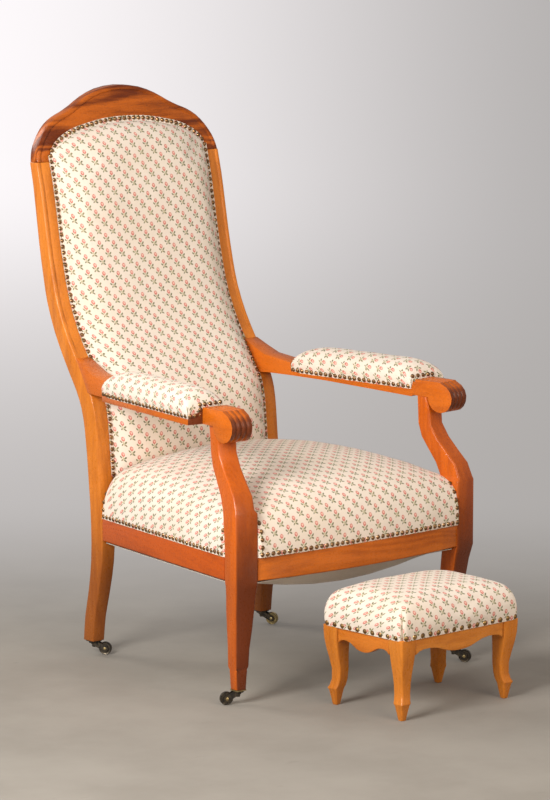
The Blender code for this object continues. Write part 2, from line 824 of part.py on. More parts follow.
def scroll_profile():
    """The scroll's side outline as (y, z, reed share, outward direction) from its top back edge."""
    centre_y = arm_y(1) + SCROLL_RADIUS
    centre_z = SCROLL_TOP_Z - SCROLL_RADIUS
    up, level = (0, 1), (0, 0)
    points = [(SCROLL_BACK_Y, SCROLL_TOP_Z, 0, up), (SCROLL_BACK_Y - REED_FADE, SCROLL_TOP_Z, 1, up)]
    for i in range(SCROLL_STEPS + 1):
        angle = mix(math.pi / 2, SCROLL_CURL, i / SCROLL_STEPS)
        out = (math.cos(angle), math.sin(angle))
        reed = 1 if i < SCROLL_STEPS else 0
        y = centre_y + out[0] * SCROLL_RADIUS
        if out[0] <= 0 <= out[1]:
            y = arm_y(1) + (1 + out[0]) * SCROLL_BROW
        points.append((y, centre_z + out[1] * SCROLL_RADIUS, reed, out))
    points.append((centre_y + SCROLL_RADIUS, ARM_UNDERSIDE_Z, 0, level))
    points.append((SCROLL_BACK_Y, ARM_UNDERSIDE_Z, 0, level))
    return points


def reeded_scroll():
    """The block and curl in front of the pad, with reeds that run over its top and nose."""
    stations = REED_COUNT * REED_STEPS
    rings = []
    for i in range(stations + 1):
        w = i / stations
        cut = REED_DEPTH * (1 - math.sqrt(abs(math.sin(math.pi * REED_COUNT * w))))
        if i in (0, stations):
            cut = 0
        ring = []
        for y, z, reed, out in scroll_profile():
            outer = arm_side_x(y, OUTER_SHARE) + SCROLL_CHEEK
            inner = arm_side_x(y, INNER_SHARE) - SCROLL_CHEEK
            x = mix(outer, inner, w)
            square_y = y - (outer - x) * ARM_SPLAY_SHARE
            ring.append((x, square_y - out[0] * cut * reed, z - out[1] * cut * reed))
        rings.append(ring)
    return loft(rings)


def build_arms():
    for side, hand in BOTH_SIDES:
        shapes = []
        for name, bm in ((f"arm_{hand}", arm_board()), (f"arm_scroll_{hand}", reeded_scroll())):
            if side < 0:
                bm = mirrored(bm)
            shapes.append(add_object(name, mesh_from(bm, name), "wood"))
        arm, scroll = shapes
        combine(arm, scroll, "UNION")
        mesh = baked(arm)
        discard(arm, scroll)
        add_object(f"arm_{hand}", mesh, "wood")


# Upholstery


def build_arm_pads():
    end = arm_y(PAD_END_SHARE) + GAP
    seat_z = ARM_LOW_Z + PAD_SEAT_SHARE * ARM_BOARD_HEIGHT + GAP
    places = eased(ARM_PAD_RINGS - 1)
    for side, hand in BOTH_SIDES:
        start = arm_y(PAD_START_SHARE) - GAP
        rings = []
        for place in places:
            y = mix(start, end, (place + 1) / 2)
            height = ARM_PAD_HEIGHT * mix(ARM_PAD_END_SHARE, 1, crown(place, ARM_PAD_SQUARENESS))
            outer = arm_side_x(y, OUTER_SHARE) + ARM_PAD_BULGE
            inner = arm_side_x(y, INNER_SHARE) - ARM_PAD_BULGE
            ring = []
            for i in range(ARM_PAD_SIDES):
                turn = math.pi * i / (ARM_PAD_SIDES - 1)
                across = math.copysign(abs(math.cos(turn)) ** ARM_PAD_ROUNDNESS, math.cos(turn))
                lift = math.sin(turn) ** ARM_PAD_ROUNDNESS
                tuck = ARM_PAD_BULGE * (1 - lift) * across
                ring.append((mix(outer, inner, (1 - across) / 2) - tuck, y, seat_z + height * lift))
            rings.append(ring)
        bm = loft(rings)
        if side < 0:
            bm = mirrored(bm)
        add_object(f"arm_pad_{hand}", mesh_from(bm, f"arm_pad_{hand}"), "fabric")


def back_grid(rows, columns, half_width, low_z, depth_at):
    """A grid that fills the back frame up to the crest's inner edge."""
    grid = []
    for v in rows:
        line = []
        for u in columns:
            x = u * half_width
            top_z = crest_inner_z(x) - 2 * GAP
            z = mix(low_z, top_z, (v + 1) / 2)
            line.append((x, depth_at(u, v, z), z))
        grid.append(line)
    return grid


def build_back_upholstery():
    half = STILE_OUTER_X - STILE_WIDTH - 2 * GAP
    rows, columns = eased(BACK_PAD_ROWS), eased(BACK_PAD_COLUMNS)

    def pad_front(u, v, z):
        rise = crown(u, BACK_PAD_SQUARENESS) * crown(v, BACK_PAD_SQUARENESS * 2)
        return stile_front(z) - rise * BACK_PAD_CROWN

    def pad_back(_u, _v, z):
        return stile_front(z) + BACK_PAD_SINK

    front = back_grid(rows, columns, half, BACK_PAD_BOTTOM_Z, pad_front)
    back = back_grid(rows, columns, half, BACK_PAD_BOTTOM_Z, pad_back)
    add_object("back_cushion", mesh_from(shell(front, back), "back_cushion"), "fabric")

    def cover_back(_u, _v, z):
        return stile_front(z) + stile_depth(z) - BACK_COVER_INSET

    def cover_front(u, v, z):
        return cover_back(u, v, z) - BACK_COVER_THICK

    low_z = BACK_PAD_BOTTOM_Z - BACK_RAIL_HEIGHT
    few = (-1, -0.5, 0, 0.5, 1)
    even = [2 * i / BACK_PAD_ROWS - 1 for i in range(BACK_PAD_ROWS + 1)]
    front = back_grid(even, few, half, low_z, cover_front)
    back = back_grid(even, few, half, low_z, cover_back)
    add_object("back_cover_panel", mesh_from(shell(front, back), "back_cover_panel"), "fabric")


def build_seat_cushion():
    """The stuffed seat, cut round the front legs, with a pocket below for its springs."""
    base_z = SEAT_RAIL_TOP_Z + GAP
    back_y = SEAT_BACK_Y - GAP
    places = eased(SEAT_STEPS)
    top = []
    for v in places:
        line = []
        for u in places:
            bow = (1 - u * u) * FRONT_RAIL_BOW
            y = mix(FRONT_Y - bow, back_y, (v + 1) / 2)
            wall = crown(u, SEAT_WALL_SQUARENESS) * crown(v, SEAT_WALL_SQUARENESS)
            rise = crown(u, SEAT_CROWN_SQUARENESS) * crown(v, SEAT_CROWN_SQUARENESS)
            half = side_rail_outer_x(max(y, LEG_FRONT_Y)) + SEAT_BULGE
            wall *= mix(SEAT_FRONT_WALL, SEAT_BACK_WALL, (v + 1) / 2)
            line.append((u * half, y, base_z + wall + rise * SEAT_CROWN))
        top.append(line)
    cushion = add_object("seat_cushion", mesh_from(dome(top), "seat_cushion"), "fabric")
    cutters = []
    for side, hand in BOTH_SIDES:
        bm = loft(leg_rings(CUT_OVERRUN, GAP, LEG_NOTCH_SHARE))
        if side < 0:
            bm = mirrored(bm)
        cutters.append(add_cutter(f"leg_notch_{hand}", mesh_from(bm, f"leg_notch_{hand}")))
    low = (-POCKET_HALF_WIDTH, -POCKET_HALF_DEPTH, base_z - CUT_OVERRUN)
    high = (POCKET_HALF_WIDTH, POCKET_HALF_DEPTH, base_z + POCKET_HEIGHT)
    cutters.append(add_cutter("spring_pocket", mesh_from(block(low, high), "spring_pocket")))
    for cutter in cutters:
        combine(cushion, cutter, "DIFFERENCE")


def build_webbing():
    """Straps nailed under the seat rails, which the springs stand on."""
    top_z = SEAT_RAIL_BOTTOM_Z - FRONT_RAIL_DROP - GAP
    low_z = top_z - WEB_THICK
    front_y = FRONT_Y + ARM_EDGE
    back_y = SEAT_BACK_Y + RAIL_THICK / 2
    straps = []
    for i in range(WEB_COUNT):
        share = (i + 0.5) / WEB_COUNT * 2 - 1
        x = share * (STILE_OUTER_X - WEB_WIDTH / 2)
        straps.append(block((x - WEB_WIDTH / 2, front_y, low_z), (x + WEB_WIDTH / 2, back_y, top_z)))
    for i in range(WEB_COUNT):
        share = (i + 0.5) / WEB_COUNT
        y = mix(front_y + LEG_DEPTH, SEAT_BACK_Y, share)
        half = side_rail_outer_x(y + WEB_WIDTH / 2) - RAIL_THICK / 2
        straps.append(block((-half, y - WEB_WIDTH / 2, low_z), (half, y + WEB_WIDTH / 2, top_z)))
    shapes = []
    for i, bm in enumerate(straps):
        shapes.append(add_object(f"strap_{i}", mesh_from(bm, f"strap_{i}"), "hessian"))
    for strap in shapes[1:]:
        combine(shapes[0], strap, "UNION")
    mesh = baked(shapes[0])
    discard(*shapes)
    add_object("seat_webbing", mesh, "hessian")
    return top_z, low_z


def build_springs(low_z):
    """Waisted coil springs between the webbing and the pocket's roof."""
    high_z = SEAT_RAIL_TOP_Z + GAP + POCKET_HEIGHT
    wire_reach = SPRING_WIRE / 2 + GAP
    places = [(sx * SPRING_SPREAD_X, sy * SPRING_SPREAD_Y) for sx in (-1, 1) for sy in (-1, 1)]
    names = ("front_left", "back_left", "front_right", "back_right", "middle")
    for name, (x, y) in zip(names, places + [(0, 0)]):
        curve = bpy.data.curves.new(f"seat_spring_{name}", "CURVE")
        curve.dimensions = "3D"
        curve.bevel_depth = SPRING_WIRE / 2
        curve.bevel_resolution = 0
        curve.use_fill_caps = True
        spline = curve.splines.new("POLY")
        count = SPRING_TURNS * SPRING_POINTS
        spline.points.add(count)
        for i in range(count + 1):
            t = i / count
            radius = SPRING_RADIUS * mix(SPRING_WAIST_SHARE, 1, (2 * t - 1) ** 2)
            turn = 2 * math.pi * SPRING_TURNS * t
            z = mix(low_z + wire_reach, high_z - wire_reach, t)
            spline.points[i].co = (x + radius * math.cos(turn), y + radius * math.sin(turn), z, 1)
        curve.materials.append(material("spring_steel"))
        made = bpy.data.objects.new(f"seat_spring_{name}", curve)
        bpy.context.scene.collection.objects.link(made)


def build_dust_cover(high_z):
    """The cloth under the seat, which hangs down in a shallow belly and is cut round the legs."""
    front_y = FRONT_Y + DUST_COVER_INSET
    back_y = SEAT_BACK_Y - 2 * GAP
    leg_y = leg_point(0, LEG_DEPTH)[1] + DUST_COVER_NOTCH
    rows = [(front_y, leg_inner_x(front_y)), (leg_y, leg_inner_x(leg_y))]
    rows = [(y, half - DUST_COVER_NOTCH) for y, half in rows]
    for i in range(DUST_COVER_STEPS):
        share = math.sin(math.pi / 2 * i / (DUST_COVER_STEPS - 1))
        y = mix(leg_y + DUST_COVER_NOTCH, back_y, share)
        rows.append((y, side_rail_outer_x(y) - DUST_COVER_INSET))
    across = [2 * i / DUST_COVER_STEPS - 1 for i in range(DUST_COVER_STEPS + 1)]

    def grid(top_z):
        lines = []
        for y, half in rows:
            v = mix(-1, 1, (y - front_y) / (back_y - front_y))
            ends = crown(v, DUST_COVER_END_SQUARENESS)
            bellies = [ends * (1 - u * u) ** DUST_COVER_SIDE_FALL for u in across]
            lines.append([(u * half, y, top_z - DUST_COVER_SAG * b) for u, b in zip(across, bellies)])
        return lines

    bm = shell(grid(high_z), grid(high_z - DUST_COVER_THICK))
    add_object("dust_cover", mesh_from(bm, "dust_cover"), "hessian")


# Castors


def castor_plate_mesh():
    top_z = FOOT_Z - GAP
    outline = chamfered(*(-PLATE_SIDE / 2, PLATE_SIDE / 2) * 2, PLATE_THICK)
    bm = prism(outline, top_z - PLATE_THICK, top_z)
    plate = add_object("plate_shape", mesh_from(bm, "plate"), "bronze")
    radius = PIVOT_RADIUS + AXLE_CLEARANCE
    hole = rod(radius, top_z - PLATE_THICK - CUT_OVERRUN, top_z + CUT_OVERRUN, 12)
    cutter = add_cutter("plate_hole", mesh_from(hole, "plate_hole"))
    combine(plate, cutter, "DIFFERENCE")
    mesh = baked(plate)
    discard(plate, cutter)
    return mesh


def castor_fork_mesh():
    """Swivel head with its pivot stub, a boss below and two cheeks out to the axle."""
    head_top = FOOT_Z - GAP - PLATE_THICK - GAP
    head_low = head_top - FORK_HEAD_HEIGHT
    boss_low = head_low - FORK_BOSS_HEIGHT
    pivot_top = head_top + PLATE_THICK
    parts = [
        rod(FORK_HEAD_RADIUS, head_low, head_top, 16),
        rod(FORK_BOSS_RADIUS, boss_low, head_low + FORK_HEAD_HEIGHT / 2, 12, crown_height=CHEEK_THICK),
        rod(PIVOT_RADIUS, head_low + FORK_HEAD_HEIGHT / 2, pivot_top, 12),
    ]
    reach = WHEEL_WIDTH / 2 + CHEEK_CLEARANCE
    neck_top = head_low + FORK_HEAD_HEIGHT / 2
    outline = [(-FORK_BOSS_RADIUS, neck_top), (-FORK_BOSS_RADIUS, head_low - CHEEK_THICK)]
    outline.append((FORK_BOSS_RADIUS, boss_low + CHEEK_THICK))
    for i in range(7):
        turn = mix(-math.pi / 2, math.pi / 2, i / 6)
        x = CASTOR_TRAIL + CHEEK_EYE_RADIUS * math.cos(turn)
        outline.append((x, WHEEL_RADIUS + CHEEK_EYE_RADIUS * math.sin(turn)))
    outline.append((FORK_HEAD_RADIUS, neck_top))
    for low in (-reach - CHEEK_THICK, reach):
        parts.append(prism(outline, low, low + CHEEK_THICK, "Y"))
    shapes = [add_object(f"fork_{i}", mesh_from(bm, f"fork_{i}"), "bronze") for i, bm in enumerate(parts)]
    for shape in shapes[1:]:
        combine(shapes[0], shape, "UNION")
    bore = rod(AXLE_RADIUS + GAP, -PLATE_SIDE, PLATE_SIDE, 12, "Y")
    bmesh.ops.translate(bore, vec=(CASTOR_TRAIL, 0, WHEEL_RADIUS), verts=bore.verts)
    cutter = add_cutter("axle_bore", mesh_from(bore, "axle_bore"))
    combine(shapes[0], cutter, "DIFFERENCE")
    mesh = baked(shapes[0])
    discard(cutter, *shapes)
    return mesh


def castor_axle_mesh():
    """A pin with riveted ends outside the cheeks, turned about its own axis."""
    reach = WHEEL_WIDTH / 2 + CHEEK_CLEARANCE + CHEEK_THICK + GAP
    profile = (
        (AXLE_HEAD_RADIUS * 0.4, -reach - AXLE_HEAD_HEIGHT),
        (AXLE_HEAD_RADIUS, -reach - AXLE_HEAD_HEIGHT / 2),
        (AXLE_HEAD_RADIUS, -reach),
        (AXLE_RADIUS, -reach),
        (AXLE_RADIUS, reach),
        (AXLE_HEAD_RADIUS, reach),
        (AXLE_HEAD_RADIUS, reach + AXLE_HEAD_HEIGHT / 2),
        (AXLE_HEAD_RADIUS * 0.4, reach + AXLE_HEAD_HEIGHT),
    )
    turns = [2 * math.pi * i / 12 for i in range(12)]
    rings = [[(r * math.cos(a), y, r * math.sin(a)) for a in turns] for r, y in profile]
    return mesh_from(loft(rings), "castor_axle")


def castor_wheel_mesh():
    """A wheel with a crowned tread, a dished face and a raised hub."""
    half = WHEEL_WIDTH / 2
    bore = AXLE_RADIUS + AXLE_CLEARANCE
    side = (
        (bore, half),
        (HUB_RADIUS, half),
        (HUB_RADIUS, half - HUB_RECESS),
        (WHEEL_RADIUS - 2 * HUB_RECESS, half - HUB_RECESS),
        (WHEEL_RADIUS - WHEEL_CROWN, half - WHEEL_CROWN / 2),
        (WHEEL_RADIUS, half - WHEEL_CROWN * 2),
    )
    profile = list(side) + [(radius, -y) for radius, y in side[::-1]]
    return mesh_from(turned(profile, 24, "Y"), "castor_wheel")


def leg_foot_centre(x_side, back):
    """The middle of a leg's underside."""
    if back:
        middle_x = (STILE_OUTER_X + stile_inner_x(FOOT_Z)) / 2
        return x_side * middle_x, stile_front(FOOT_Z) + stile_depth(FOOT_Z) / 2
    _, front, rear, outer, inner = LEG_SHARES[0]
    x, y = leg_point((1 + outer - inner) * LEG_WIDTH / 2, (1 + front - rear) * LEG_DEPTH / 2)
    return x_side * x, y


def build_castors():
    """Four castors, each parked with its wheel trailing its own way."""
    plate, fork, axle, wheel = (
        castor_plate_mesh(),
        castor_fork_mesh(),
        castor_axle_mesh(),
        castor_wheel_mesh(),
    )
    parked = {
        "front_left": (-1, False, math.radians(155)),
        "front_right": (1, False, math.radians(-55)),
        "back_left": (-1, True, math.radians(-50)),
        "back_right": (1, True, math.radians(-60)),
    }
    for name, (x_side, back, trail_turn) in parked.items():
        x, y = leg_foot_centre(x_side, back)
        add_object(f"castor_plate_{name}", plate, "bronze", location=(x, y, 0))
        swivel = bpy.data.objects.new(f"castor_swivel_axis_{name}", None)
        swivel.location = (x, y, 0)
        swivel.rotation_euler = (0, 0, trail_turn)
        bpy.context.scene.collection.objects.link(swivel)
        on_axle = (CASTOR_TRAIL, 0, WHEEL_RADIUS)
        add_object(f"castor_fork_{name}", fork, "bronze", swivel)
        add_object(f"castor_axle_{name}", axle, "brass", swivel, on_axle)
        add_object(f"castor_wheel_{name}", wheel, "brass", swivel, on_axle)


# Footstool


def stool_leg(side_x, side_y):
    rings = []
    for share, out, inwards in STOOL_LEG_SHARES:
        out *= STOOL_LEG_WIDTH
        inwards *= STOOL_LEG_WIDTH
        ring = []
        for x, y in chamfered(-inwards, out, -inwards, out, STOOL_LEG_EDGE):
            place = (STOOL_SPAN_X / 2 + x, STOOL_SPAN_Y / 2 + y)
            ring.append((side_x * place[0], side_y * place[1], share * STOOL_LEG_HEIGHT))
        rings.append(ring)
    return loft(rings)


def apron(span):
    """A scalloped board along X, centred, with its outer face on Y = 0."""
    top_z = STOOL_LEG_HEIGHT
    low_z = top_z - APRON_HEIGHT
    half = [(share - 0.5, height) for share, height in APRON_SHARES]
    edge = half + [(-share, height) for share, height in half[-2::-1]]
    outline = [(share * span, low_z + height * APRON_HEIGHT) for share, height in edge]
    outline += [(span / 2, top_z), (-span / 2, top_z)]
    return prism(outline, 0, APRON_THICK, "Y")


def build_footstool():
    stool = bpy.data.objects.new("footstool_place", None)
    stool.location = (0, STOOL_CENTRE_Y, 0)
    stool.rotation_euler = (0, 0, STOOL_TURN)
    bpy.context.scene.collection.objects.link(stool)
    for side_y, end in ((-1, "front"), (1, "back")):
        for side_x, hand in BOTH_SIDES:
            name = f"stool_leg_{end}_{hand}"
            add_object(name, mesh_from(stool_leg(side_x, side_y), name), "wood", stool)

    inner = STOOL_LEG_SHARES[-1][2] * STOOL_LEG_WIDTH + GAP
    outer = STOOL_LEG_SHARES[-1][1] * STOOL_LEG_WIDTH - APRON_SETBACK
    long_span = STOOL_SPAN_X - 2 * inner
    short_span = STOOL_SPAN_Y - 2 * inner
    for name, span, turn, reach in (
        ("front", long_span, 0, STOOL_SPAN_Y / 2),
        ("right", short_span, math.pi / 2, STOOL_SPAN_X / 2),
        ("back", long_span, math.pi, STOOL_SPAN_Y / 2),
        ("left", short_span, -math.pi / 2, STOOL_SPAN_X / 2),
    ):
        bm = apron(span)
        bmesh.ops.translate(bm, vec=(0, -reach - outer, 0), verts=bm.verts)
        bmesh.ops.rotate(bm, cent=(0, 0, 0), matrix=Matrix.Rotation(turn, 3, "Z"), verts=bm.verts)
        add_object(f"stool_apron_{name}", mesh_from(bm, f"stool_apron_{name}"), "wood", stool)

    wide = STOOL_SPAN_X / 2 + outer - APRON_THICK - GAP
    deep = STOOL_SPAN_Y / 2 + outer - APRON_THICK - GAP
    notch_x = STOOL_SPAN_X / 2 - inner
    notch_y = STOOL_SPAN_Y / 2 - inner
    quarter = ((wide, notch_y), (notch_x, notch_y), (notch_x, deep))
    outline = list(quarter)
    outline += [(-x, y) for x, y in quarter[::-1]]
    outline += [(-x, -y) for x, y in quarter]
    outline += [(x, -y) for x, y in quarter[::-1]]
    bm = prism(outline, STOOL_LEG_HEIGHT - DECK_THICK, STOOL_LEG_HEIGHT)
    add_object("stool_deck", mesh_from(bm, "stool_deck"), "wood", stool)

    reach = STOOL_LEG_SHARES[-1][1] * STOOL_LEG_WIDTH + STOOL_PAD_OVERHANG
    half_x, half_y = STOOL_SPAN_X / 2 + reach, STOOL_SPAN_Y / 2 + reach
    base_z = STOOL_LEG_HEIGHT + GAP
    wall = STOOL_PAD_HEIGHT * STOOL_PAD_WALL_SHARE
    rings = []
    levels = [(0, STOOL_PAD_FOOT_SHARE), (STOOL_PAD_LOW_SHARE * wall, 1), (wall, 1)]
    for i in range(1, STOOL_PAD_STEPS):
        turn = math.pi / 2 * i / STOOL_PAD_STEPS
        rise = (STOOL_PAD_HEIGHT - wall) * math.sin(turn)
        levels.append((wall + rise, math.cos(turn) ** STOOL_PAD_ROUNDNESS))
    corner_turns = [math.pi / 2 * i / 3 for i in range(4)]
    for height, share in levels:
        ring = []
        for quadrant, (sx, sy) in enumerate(((1, 1), (-1, 1), (-1, -1), (1, -1))):
            for turn in corner_turns:
                a = turn + quadrant * math.pi / 2
                x = sx * (half_x - STOOL_PAD_CORNER) + STOOL_PAD_CORNER * math.cos(a)
                y = sy * (half_y - STOOL_PAD_CORNER) + STOOL_PAD_CORNER * math.sin(a)
                ring.append((x * share, y * share, base_z + height))
        rings.append(ring)
    add_object("stool_cushion", mesh_from(loft(rings), "stool_cushion"), "fabric", stool)


def stand_on_origin():
    """Moves the whole group so that the middle of its footprint is the origin."""
    bpy.context.view_layer.update()
    depsgraph = bpy.context.evaluated_depsgraph_get()
    points = []
    for each in bpy.context.scene.objects:
        if each.type != "EMPTY" and not each.hide_render:
            seen = each.evaluated_get(depsgraph)
            points += [seen.matrix_world @ vertex.co for vertex in seen.to_mesh().vertices]
            seen.to_mesh_clear()
    middle_x = (min(p.x for p in points) + max(p.x for p in points)) / 2
    middle_y = (min(p.y for p in points) + max(p.y for p in points)) / 2
    for each in bpy.context.scene.objects:
        if each.parent is None:
            each.location.x -= middle_x
            each.location.y -= middle_y
    print(f"group shifted by {-middle_x:.6f}, {-middle_y:.6f} m")


def main():
    for each in list(bpy.data.objects):
        bpy.data.objects.remove(each)
    build_stiles()
    build_crest_rail()
    build_cross_rails()
    build_front_legs()
    build_seat_rails()
    build_corner_blocks()
    build_arms()
    build_arm_pads()
    build_back_upholstery()
    build_seat_cushion()
    web_top, web_low = build_webbing()
    build_springs(web_top)
    build_dust_cover(web_low - GAP)
    build_castors()
    build_footstool()
    stand_on_origin()


main()
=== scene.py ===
"""Looks of a tall-backed armchair on castors and its footstool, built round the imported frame.

The frame's nodes stay where the CAD puts them, and each piece made here rides on one of its
bodies. Lengths are in metres, +Z is up and the chair faces -Y.
"""

import logging
import math
from abc import ABC, abstractmethod
from dataclasses import dataclass
from enum import Enum
from typing import Any, Callable, Iterable, Sequence

import bmesh
import bpy
import numpy as np
from mathutils import Matrix, Vector, noise
from mathutils.bvhtree import BVHTree


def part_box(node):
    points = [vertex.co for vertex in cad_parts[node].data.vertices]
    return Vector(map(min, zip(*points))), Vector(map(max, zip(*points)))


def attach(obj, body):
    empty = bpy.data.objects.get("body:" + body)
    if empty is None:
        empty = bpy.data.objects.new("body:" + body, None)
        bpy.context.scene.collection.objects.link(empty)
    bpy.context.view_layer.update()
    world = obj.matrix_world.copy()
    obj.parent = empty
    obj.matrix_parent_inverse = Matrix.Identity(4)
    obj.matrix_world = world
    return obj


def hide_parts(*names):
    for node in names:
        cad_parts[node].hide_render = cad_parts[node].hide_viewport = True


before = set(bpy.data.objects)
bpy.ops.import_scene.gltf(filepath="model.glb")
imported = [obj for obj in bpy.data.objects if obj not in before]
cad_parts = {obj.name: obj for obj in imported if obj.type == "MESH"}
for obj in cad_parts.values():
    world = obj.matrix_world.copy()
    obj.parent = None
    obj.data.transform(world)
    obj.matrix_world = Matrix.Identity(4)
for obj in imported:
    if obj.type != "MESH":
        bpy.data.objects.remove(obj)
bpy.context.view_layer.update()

log = logging.getLogger("armchair")

Colour = tuple[float, float, float]
Point = tuple[float, float, float]

CHAIR = "chair"
STOOL = "footstool"
SIDES = ((-1, "left"), (1, "right"))
RAIL_BACK_Y = 0.2539
MERGE = 1e-5
MILLIMETRES = 1000


def chair_origin() -> Vector:
    """The plan place of the chair's own zero, found from the rail between the back legs."""
    low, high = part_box("back_seat_rail")
    return Vector(((low.x + high.x) / 2, low.y - RAIL_BACK_Y, 0))


ORIGIN = chair_origin()


def mix(low: float, high: float, share: float) -> float:
    """The value at a share of the way from low to high."""
    return low + (high - low) * share


def crown(u: float, squareness: float) -> float:
    """Height share of a stuffed form, 1 in its middle and 0 at its edge."""
    return math.sqrt(max(1 - abs(u) ** squareness, 0))


def straight(table: Sequence[Sequence[float]], place: float, column: int = 1) -> float:
    """Reads a table at a place with straight lines between its rows.

    Args:
        table: Rows that start with their place, in rising order.
        place: Where to read.
        column: Which column to read.

    Returns:
        The value there, or that of the nearest end.
    """
    for low, high in zip(table, table[1:]):
        if place <= high[0]:
            share = max((place - low[0]) / (high[0] - low[0]), 0)
            return mix(low[column], high[column], share)
    return table[-1][column]


class Shade:
    """A shader socket that can stand in a sum."""

    def __init__(self, recipe: "Recipe", socket: Any) -> None:
        """Keeps the socket and the recipe that it belongs to."""
        self.recipe = recipe
        self.socket = socket

    def join(self, operation: str, *values: Any) -> "Shade":
        """Adds a Math node.

        Args:
            operation: The node's operation.
            values: Numbers or shades for its sockets.

        Returns:
            The node's result.
        """
        return self.recipe.node("ShaderNodeMath", {"operation": operation}, dict(enumerate(values)))

    def __add__(self, other: Any) -> "Shade":
        """self + other."""
        return self.join("ADD", self, other)

    __radd__ = __add__

    def __sub__(self, other: Any) -> "Shade":
        """self - other."""
        return self.join("SUBTRACT", self, other)

    def __rsub__(self, other: Any) -> "Shade":
        """other - self."""
        return self.join("SUBTRACT", other, self)

    def __mul__(self, other: Any) -> "Shade":
        """self * other."""
        return self.join("MULTIPLY", self, other)

    __rmul__ = __mul__

    def __truediv__(self, other: Any) -> "Shade":
        """self / other."""
        return self.join("DIVIDE", self, other)

    def __rtruediv__(self, other: Any) -> "Shade":
        """other / self."""
        return self.join("DIVIDE", other, self)

    def __pow__(self, other: Any) -> "Shade":
        """self ** other."""
        return self.join("POWER", self, other)

    def sine(self) -> "Shade":
        """The sine of self."""
        return self.join("SINE", self)

    def floor(self) -> "Shade":
        """The whole number below self."""
        return self.join("FLOOR", self)

    def fract(self) -> "Shade":
        """What self has past its whole number."""
        return self.join("FRACT", self)

    def size(self) -> "Shade":
        """self without its sign."""
        return self.join("ABSOLUTE", self)

    def above(self, other: Any) -> "Shade":
        """1 where self is greater than other, and 0 elsewhere."""
        return self.join("GREATER_THAN", self, other)

    def most(self, other: Any) -> "Shade":
        """The larger of self and other."""
        return self.join("MAXIMUM", self, other)


class Recipe:
    """The nodes of one material."""

    def __init__(self, name: str) -> None:
        """Starts an empty material of that name."""
        self.material = bpy.data.materials.new(name)
        self.material.use_nodes = True
        self.tree = self.material.node_tree
        self.tree.nodes.clear()

    def node(
        self, kind: str, settings: dict | None = None, inputs: dict | None = None, output: Any = 0
    ) -> Shade:
        """Adds a node.

        Args:
            kind: The node's type.
            settings: Its properties, set first; "stops" are a colour ramp's stops.
            inputs: Its sockets' numbers, colours or shades, by name or number.
            output: The name or number of the socket to go on with.

        Returns:
            That output.
        """
        made = self.tree.nodes.new(kind)
        for key, value in (settings or {}).items():
            if key == "stops":
                ramp = made.color_ramp.elements
                while len(ramp) < len(value):
                    ramp.new(0.5)
                for stop, (place, colour) in zip(ramp, value):
                    stop.position, stop.color = place, (*colour, 1)
            else:
                setattr(made, key, value)
        for key, value in (inputs or {}).items():
            socket = made.inputs[key]
            if isinstance(value, Shade):
                self.tree.links.new(value.socket, socket)
            elif socket.type == "RGBA" and len(value) == 3:
                socket.default_value = (*value, 1)
            else:
                socket.default_value = value
        return Shade(self, made.outputs[output])

    def place(self, offset: Point = (0, 0, 0), scale: Point = (1, 1, 1), turn: Point = (0, 0, 0)) -> Shade:
        """Object coordinates, moved, turned and scaled."""
        coordinates = self.node("ShaderNodeTexCoord", output="Object")
        inputs = {"Vector": coordinates, "Location": offset, "Rotation": turn, "Scale": scale}
        return self.node("ShaderNodeMapping", {}, inputs)

    def part(self, vector: Shade, axis: str) -> Shade:
        """One coordinate of a vector."""
        return self.node("ShaderNodeSeparateXYZ", {}, {0: vector}, axis)

    def noise(
        self, vector: Shade, scale: float, detail: float = 2, roughness: float = 0.5, warp: float = 0
    ) -> Shade:
        """Adds a noise of about scale features a metre."""
        inputs = {"Vector": vector, "Scale": scale, "Detail": detail}
        inputs |= {"Roughness": roughness, "Distortion": warp}
        return self.node("ShaderNodeTexNoise", {}, inputs)

    def ease(self, value: Shade, low: float, high: float, to_low: float = 0, to_high: float = 1) -> Shade:
        """Carries low to high smoothly over to another range."""
        settings = {"interpolation_type": "SMOOTHSTEP"}
        inputs = {"Value": value, "From Min": low, "From Max": high, "To Min": to_low, "To Max": to_high}
        return self.node("ShaderNodeMapRange", settings, inputs)

    def blend(self, share: Any, first: Any, second: Any, way: str = "MIX") -> Shade:
        """Mixes two colours."""
        settings = {"data_type": "RGBA", "blend_type": way}
        return self.node("ShaderNodeMix", settings, {0: share, 6: first, 7: second}, 2)

    def bump(self, height: Shade, distance: float, strength: float = 1) -> Shade:
        """A normal from a height."""
        inputs = {"Strength": strength, "Distance": distance, "Height": height}
        return self.node("ShaderNodeBump", {}, inputs)

    def finish(self, **inputs: Any) -> bpy.types.Material:
        """Ends with a Principled shader whose sockets are named with underscores for spaces."""
        named = {key.replace("_", " "): value for key, value in inputs.items()}
        return self.surface(self.node("ShaderNodeBsdfPrincipled", {}, named))

    def surface(self, shader: Shade) -> bpy.types.Material:
        """Ends with a shader."""
        out = self.tree.nodes.new("ShaderNodeOutputMaterial")
        self.tree.links.new(shader.socket, out.inputs["Surface"])
        return self.material


class Finish(ABC):
    """A finish that is made into a material once."""

    name: str

    def material(self) -> bpy.types.Material:
        """The finish as a material."""
        return bpy.data.materials.get(self.name) or self.mixed(Recipe(self.name))

    @abstractmethod
    def mixed(self, recipe: Recipe) -> bpy.types.Material:
        """Makes the material from an empty recipe."""


class Grain(Enum):
    """How far the wood's figure is stretched along X, Y and Z."""

    UPRIGHT = (1.0, 1.0, 0.08)
    ACROSS = (0.08, 1.0, 1.0)
    FORWARD = (1.0, 0.08, 1.0)


